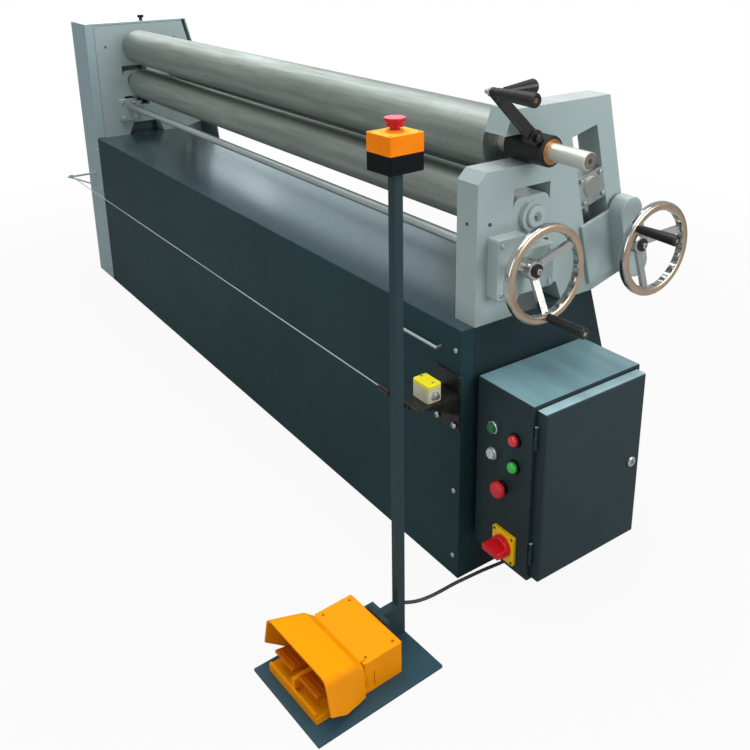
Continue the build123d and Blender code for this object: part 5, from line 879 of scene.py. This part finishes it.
def gear(depth, width, height, y, z, base=0.0, bevel=0.0015):
    """A rounded block, `depth` out of the mounting plate from `base` on, with its middle at (y, z)."""
    return block((depth, width, height), (PLATE_FACE + base + depth / 2, y, z), bevel)


plate = [gear(PLATE_THICK, 0.270, 0.420, -0.100, 0.356, base=-PLATE_THICK, bevel=0.0006)]
plate += [gear(0.0075, 0.205, 0.035, -0.0775, rail, bevel=0.001) for rail in (UPPER_RAIL, LOWER_RAIL)]
plate += [turning(STUD, (BOX_BACK, y, z), TAILWARD) for y, z in PLATE_STUDS]
plate += [hexagon(0.013, 0.006, (PLATE_FACE, y, z), TAILWARD) for y, z in PLATE_STUDS]
fit("mounting_plate", plate, "frame", zinc, "zinc_steel")

# %% Wiring ducts
DUCT_DEPTH = 0.050
DUCT_WIDTH = 0.030
DUCT_LID = 0.006
LID_EXTRA = 0.002
TOOTH_THICK = 0.0018
TOOTH_WIDTH = 0.007
TOOTH_PITCH = 0.0125
DUCTS = [((-0.205, 0.356), 0.390, True), ((-0.0775, 0.362), 0.205, False)]
ducts = []
for (y, z), length, upright in DUCTS:
    wide, high = (DUCT_WIDTH, length) if upright else (length, DUCT_WIDTH)
    ducts.append(gear(0.004, wide, high, y, z, bevel=0.001))
    ducts.append(gear(DUCT_LID, wide + LID_EXTRA, high + LID_EXTRA, y, z, base=DUCT_DEPTH - DUCT_LID))
    for number in range(int(length / TOOTH_PITCH)):
        along = (number + 0.5) * TOOTH_PITCH - length / 2
        for side in (-0.014, 0.014):
            foot = (y + side, z + along) if upright else (y + along, z + side)
            tooth = (TOOTH_THICK, TOOTH_WIDTH) if upright else (TOOTH_WIDTH, TOOTH_THICK)
            ducts.append(gear(DUCT_DEPTH - 0.008, *tooth, *foot, base=0.003, bevel=0.0004))
fit("wiring_ducts", ducts, "frame", duct_grey, "switch_beige")

# %% Contactors and breaker
ON_RAIL = 0.006
CONTACTORS = (-0.150, -0.104, -0.058)
CONTACTOR_FRONT = 0.068
RELAY_DROP = 0.0585
POLES = [-0.006 + side for side in (-0.0175, 0, 0.0175)]
bodies = [gear(0.062, 0.0445, 0.078, y, UPPER_RAIL, base=ON_RAIL, bevel=0.002) for y in CONTACTORS]
relay_level = UPPER_RAIL - RELAY_DROP
bodies.append(gear(0.058, 0.0445, 0.038, CONTACTORS[0], relay_level, base=ON_RAIL, bevel=0.002))
fit("contactors", bodies, "frame", switch_black, "switch_black")
fronts = [gear(0.010, 0.032, 0.040, y, UPPER_RAIL, base=CONTACTOR_FRONT, bevel=0.002)
          for y in CONTACTORS]
fronts += [gear(0.056, 0.0170, 0.084, y, UPPER_RAIL, base=ON_RAIL, bevel=0.002) for y in POLES]
fit("contactor_fronts", fronts, "frame", button_white, "button_white")
levers = [gear(0.014, 0.010, 0.014, y, UPPER_RAIL + 0.004, base=0.062) for y in POLES]
fit("breaker_levers", levers, "frame", switch_black, "switch_black")

# %% Terminals and clamp screws
TERMINALS = [-0.170 + 0.0072 * number for number in range(12)]
TERMINAL_FRONT = 0.046
CLAMP_SCREW = [(0, 0.0014), (0.0018, 0.002), (0.0026, 0.0012), (0.0026, 0), (0, 0)]
terminals = [gear(0.040, 0.0064, 0.048, y, LOWER_RAIL, base=ON_RAIL, bevel=0.0012) for y in TERMINALS]
fit("terminal_row", terminals, "frame", switch_beige, "switch_beige")
clamps = [(PLATE_FACE + CONTACTOR_FRONT, y + side, UPPER_RAIL + level)
          for y in CONTACTORS
          for side in (-0.013, 0, 0.013)
          for level in (-0.031, 0.031)]
clamps += [(PLATE_FACE + TERMINAL_FRONT, y, LOWER_RAIL + level)
           for y in TERMINALS
           for level in (-0.015, 0.015)]
screws = [turning(CLAMP_SCREW, clamp, TAILWARD, steps=12) for clamp in clamps]
fit("clamp_screws", screws, "frame", zinc, "zinc_steel")

# %% Transformer
CORE_Y = -0.030
CORE_Z = 0.225
core = [gear(0.062, 0.080, 0.014, CORE_Y, CORE_Z + level) for level in (-0.033, 0, 0.033)]
core += [gear(0.061, 0.013, 0.078, CORE_Y + side, CORE_Z) for side in (-0.033, 0.033)]
fit("transformer_core", core, "frame", black_oxide, "dark_steel")
coils = [gear(0.074, 0.048, 0.017, CORE_Y, CORE_Z + level, bevel=0.004) for level in (-0.0165, 0.0165)]
fit("transformer_coils", coils, "frame", bronze, "bronze")

# %% Contact blocks behind the buttons
INNER_WALL = -0.299
INWARD = (0, 1, 0)
BUTTON_X = 1.4275
buttons = [(BUTTON_X, row, 0.027) for row in CONTROL_ROWS]
contacts = []
for x, z, reach in (*buttons, (STOP_X, STOP_Z, 0.025)):
    contacts.append(washer(0.0138, 0.0165, reach, (x, INNER_WALL, z), INWARD))
    contacts.append(block((0.034, 0.030, 0.036), (x, INNER_WALL + reach + 0.015, z), 0.002))
for row in CONTROL_ROWS:
    contacts.append(block((0.026, 0.034, 0.030), (LAMP_X, INNER_WALL + 0.017, row), 0.002))
contacts.append(block((0.056, 0.048, 0.060), (SWITCH_X, INNER_WALL + 0.024, SWITCH_Z), 0.003))
fit("contact_blocks", contacts, "frame", switch_black, "switch_black")

# %% [markdown]
# ## The trip switch
# Two small screws hold the yellow lid, a plated gland on the end takes the wires, and two pan-head
# screws hold the bracket to the base.

# %% Trip switch fittings
def pan_head(radius, height, place, along):
    """A low domed screw head with a round sink in its middle."""
    sink = radius * 0.32
    outline = [(0, height * 0.55), (sink, height * 0.55), (sink * 1.15, height)]
    outline += [(radius * 0.62, height * 0.92), (radius * 0.9, height * 0.6), (radius, height * 0.25)]
    outline += [(radius, 0), (0, 0)]
    return turning(outline, place, along)


TRIP_Y = -0.413
TRIP_LID = 0.596
screws = [socket_screw(0.0032, 0.0018, (x, TRIP_Y, TRIP_LID), UP) for x in (1.280, 1.325)]
fit("trip_lid_screws", screws, "frame", zinc, "zinc_steel")
TRIP_END = (1.3345, TRIP_Y, 0.566)
WIRE_ENTRY = [(0, 0.005), (0.0075, 0.005), (0.0075, 0.010), (0.0062, 0.0115), (0, 0.0115)]
trip_gland = [hexagon(0.019, 0.005, TRIP_END, TAILWARD), turning(WIRE_ENTRY, TRIP_END, TAILWARD)]
fit("trip_gland", trip_gland, "frame", zinc, "zinc_steel")
TRIP_PLATE = -0.3505
screws = [pan_head(0.0085, 0.0055, (x, TRIP_PLATE, 0.460), OPERATORWARD) for x in (1.2655, 1.3315)]
fit("trip_plate_screws", screws, "frame", zinc, "zinc_steel")

# %% [markdown]
# ## A vent in the back
# The drive warms the base, so a plate with pressed louvres is screwed to the sloping back sheet near
# the head end. It is built flat, with a louvre every few centimetres, and then laid on the slope.

# %% Back vent
BACK_OUT = Vector((0, 0.720, 0.235)).normalized()
VENT_PLACE = Vector((-1.02, 0.1951, 0.450))
VENT_THICK = 0.0016
VENT_SIZE = (0.300, 0.190, VENT_THICK)
LOUVRES = 6
LOUVRE_SIZE = (0.235, 0.019, 0.006)
LOUVRE_PITCH = 0.025
LOUVRE_TILT = Matrix.Rotation(0.22, 4, "X")
laid = seat_at(VENT_PLACE, BACK_OUT)
vent = [block(VENT_SIZE, (0, 0, VENT_THICK / 2), 0.0006)]
for number in range(LOUVRES):
    louvre = block(LOUVRE_SIZE, (0, 0, 0), 0.0026)
    step = LOUVRE_PITCH * (number - (LOUVRES - 1) / 2)
    louvre.transform(Matrix.Translation((0, step, 0.003)) @ LOUVRE_TILT)
    vent.append(louvre)
for shape in vent:
    shape.transform(laid)
fit("back_vent", vent, "frame", anthracite, "base_paint")
corners = [laid @ Vector((x, y, VENT_THICK)) for x in (-0.138, 0.138) for y in (-0.084, 0.084)]
screws = [pan_head(0.0055, 0.003, corner, BACK_OUT) for corner in corners]
fit("back_vent_screws", screws, "frame", zinc, "zinc_steel")

# %% [markdown]
# ## The pedestal
# The pedestal stands a few degrees turned, so its small parts are made square to it and then turned
# about the column. The foot switch's lid has four sunk screws, each tread has cross ribs that keep a
# shoe from slipping, the stop box has a screw in each corner, and a rubber grommet lines the hole where
# the cable leaves the column.

# %% Foot switch screws
COLUMN = Vector((1.4175, -0.587, 0.0))
TURNED = Matrix.Rotation(math.radians(3.0), 4, "Z")
stood = Matrix.Translation(COLUMN) @ TURNED @ Matrix.Translation(-COLUMN)


def as_stood(shapes):
    for shape in shapes:
        shape.transform(stood)
    return shapes


HOOD_TOP = 0.091
sinks = [(x, y, HOOD_TOP) for x in (1.333, 1.500) for y in (-0.750, -0.672)]
screws = [socket_screw(0.0036, 0.0016, sink, UP) for sink in sinks]
fit("foot_switch_screws", as_stood(screws), "frame", tread_orange, "switch_orange")

# %% Tread ribs
RIB_COUNT = 6
RIB_PITCH = 0.013
FIRST_RIB = 0.022
RIB_MARGIN = 0.014
TREAD_BACK = -0.7835
TREAD_LEVEL = 0.0465
TREAD_RISE = 0.2
tilt = Matrix.Rotation(-math.atan(TREAD_RISE), 4, "X")
for side, x0, x1 in (("left", 1.330, 1.4045), ("right", 1.4285, 1.503)):
    ribs = []
    for number in range(RIB_COUNT):
        along = FIRST_RIB + RIB_PITCH * number
        rib = block((x1 - x0 - RIB_MARGIN, 0.004, 0.0026), (0, 0, 0), 0.0008)
        rib.transform(tilt)
        seat = ((x0 + x1) / 2, TREAD_BACK - along, TREAD_LEVEL + along * TREAD_RISE)
        bmesh.ops.translate(rib, vec=seat, verts=rib.verts)
        ribs.append(rib)
    fit(f"tread_ribs_{side}", as_stood(ribs), f"pedal_{side}", tread_orange, "switch_orange")

# %% Stop box screws and column grommet
STOP_LID = 1.255
seats = [(COLUMN.x + x, COLUMN.y + y, STOP_LID) for x in (-0.032, 0.032) for y in (-0.037, 0.037)]
screws = [socket_screw(0.0032, 0.0012, seat, UP) for seat in seats]
fit("stop_lid_screws", as_stood(screws), "frame", stop_orange, "switch_orange")
CABLE_HOLE = (1.4067, -0.587, 0.027)
grommet = collar(0.0047, 0.0078, 0.0012, 0.0062, 0.0026, CABLE_HOLE, HEADWARD)
fit("column_grommet", [grommet], "frame", seal_rubber, "switch_black")

# %% [markdown]
# ## Floor and world
# The photograph is a cut-out on white. A pale floor that shows itself brighter to the camera than it
# shines on the machine keeps the background white without flooding the object with light, and it still
# takes a shadow. Metal and paint mirror that white too, but less of it, or the steel would lose its
# dark sides. Far from the machine, where no shadow falls, the floor is wholly white and runs into the
# white world without a line.

# %% Floor
FLOOR_REACH = 30.0
FLOOR_LEVEL = -0.0006
floor_shape = bmesh.new()
bmesh.ops.create_grid(floor_shape, x_segments=1, y_segments=1, size=FLOOR_REACH)
bmesh.ops.translate(floor_shape, vec=(0, 0, FLOOR_LEVEL), verts=floor_shape.verts)
floor_mesh = bpy.data.meshes.new("studio_floor")
floor_shape.to_mesh(floor_mesh)
floor_shape.free()
studio_floor = bpy.data.objects.new("studio_floor", floor_mesh)
scene.collection.objects.link(studio_floor)
print("floor laid,", 2 * FLOOR_REACH, "m wide")


# %% What a ray sees
def whiteness(tree, direct, mirrored):
    """How white a ray sees the background: camera and glass rays as direct, mirror rays as mirrored."""
    path = tree.nodes.new("ShaderNodeLightPath").outputs
    straight = sum_of(tree, "MAXIMUM", path["Is Camera Ray"], path["Is Transmission Ray"])
    straight = sum_of(tree, "MULTIPLY", straight, direct)
    glossy = sum_of(tree, "MULTIPLY", path["Is Glossy Ray"], mirrored)
    return sum_of(tree, "MAXIMUM", straight, glossy)


def show_mixed(tree, amount, first, second, out_kind):
    both = tree.nodes.new("ShaderNodeMixShader")
    tree.links.new(amount, both.inputs[0])
    tree.links.new(first.outputs[0], both.inputs[1])
    tree.links.new(second.outputs[0], both.inputs[2])
    tree.links.new(both.outputs[0], tree.nodes.new(out_kind).inputs["Surface"])


print("rays sorted into camera, glass and mirror rays")

# %% Pale floor
WHITE = (1.0, 1.0, 1.0, 1.0)
FLOOR_GREY = (0.42, 0.42, 0.42, 1.0)
FLOOR_MIRRORED = 0.12
floor_material = bpy.data.materials.new("pale_floor")
floor_material.use_nodes = True
tree = floor_material.node_tree
tree.nodes.clear()
matt = tree.nodes.new("ShaderNodeBsdfDiffuse")
matt.inputs["Color"].default_value = FLOOR_GREY
glow = tree.nodes.new("ShaderNodeEmission")
glow.inputs["Color"].default_value = WHITE
far = tree.nodes.new("ShaderNodeVectorMath")
far.operation = "LENGTH"
feed(tree, far, 0, tree.nodes.new("ShaderNodeTexCoord").outputs["Object"])
open_floor = tree.nodes.new("ShaderNodeMapRange")
feed(tree, open_floor, "Value", far.outputs["Value"])
for socket, value in (("From Min", 1.6), ("From Max", 3.6), ("To Min", 0.925), ("To Max", 1.0)):
    feed(tree, open_floor, socket, value)
seen = whiteness(tree, open_floor.outputs["Result"], FLOOR_MIRRORED)
show_mixed(tree, seen, matt, glow, "ShaderNodeOutputMaterial")
floor_mesh.materials.append(floor_material)
print("floor painted with", floor_material.name)

# %% White world
SKY_TINT = (0.94, 0.98, 1.0, 1.0)
SKY_STRENGTH = 0.34
SKY_MIRRORED = 0.3
world = bpy.data.worlds.new("white_studio")
scene.world = world
world.use_nodes = True
tree = world.node_tree
tree.nodes.clear()
ambient = tree.nodes.new("ShaderNodeBackground")
ambient.inputs["Color"].default_value = SKY_TINT
ambient.inputs["Strength"].default_value = SKY_STRENGTH
white = tree.nodes.new("ShaderNodeBackground")
white.inputs["Color"].default_value = WHITE
show_mixed(tree, whiteness(tree, 1.0, SKY_MIRRORED), ambient, white, "ShaderNodeOutputWorld")
print("world", world.name, "shines with", SKY_STRENGTH)

# %% [markdown]
# ## Lamps
# One large soft lamp overhead and two weak ones at the sides give each face its own tone. Two more
# stand far behind the head end, where the long surfaces mirror the hall: the high one draws the bright
# band along the rolls, and a pale blue one, like a skylight, shines in the base's top sheet. It is
# linked to the painted sheets alone, because a sharp blue line in the gap between the rolls would look
# like a lamp tube.

# %% Soft lamps
def soft_lamp(name, place, target, size, power, tint=(1.0, 1.0, 1.0)):
    lamp_data = bpy.data.lights.new(name, "AREA")
    lamp_data.size = size
    lamp_data.energy = power
    lamp_data.color = tint
    lamp = bpy.data.objects.new(name, lamp_data)
    lamp.location = place
    lamp.rotation_euler = (Vector(target) - Vector(place)).to_track_quat("-Z", "Y").to_euler()
    lamp.visible_camera = False
    scene.collection.objects.link(lamp)
    return lamp


soft_lamp("overhead", (0.3, -0.4, 4.6), (0.2, 0.0, 0.8), 4.0, 165.0)
soft_lamp("tail_side", (4.6, 1.0, 2.4), (1.2, 0.0, 0.8), 2.4, 95.0)
soft_lamp("operator_side", (2.2, -4.2, 2.0), (1.0, 0.0, 0.7), 2.6, 38.0)
skylight = soft_lamp("skylight", (-4.8, 2.4, 1.9), (0.0, 0.0, 0.9), 3.4, 30.0, (0.55, 0.88, 1.0))
soft_lamp("hall_light", (-4.6, 0.8, 3.7), (0.0, 0.0, 1.0), 3.2, 62.0, (0.95, 0.99, 1.0))
print("lamps:", [lamp.name for lamp in bpy.data.lights])

# %% Sheets under the skylight
PAINTED_SHEETS = ("base_shell", "front_panel", "cabinet_box", "cabinet_door", "tail_cheek", "head_cheek",
                  "head_casing")
skylit = bpy.data.collections.new("skylit_sheets")
for name in PAINTED_SHEETS:
    skylit.objects.link(nodes[name])
skylight.light_linking.receiver_collection = skylit

# %% [markdown]
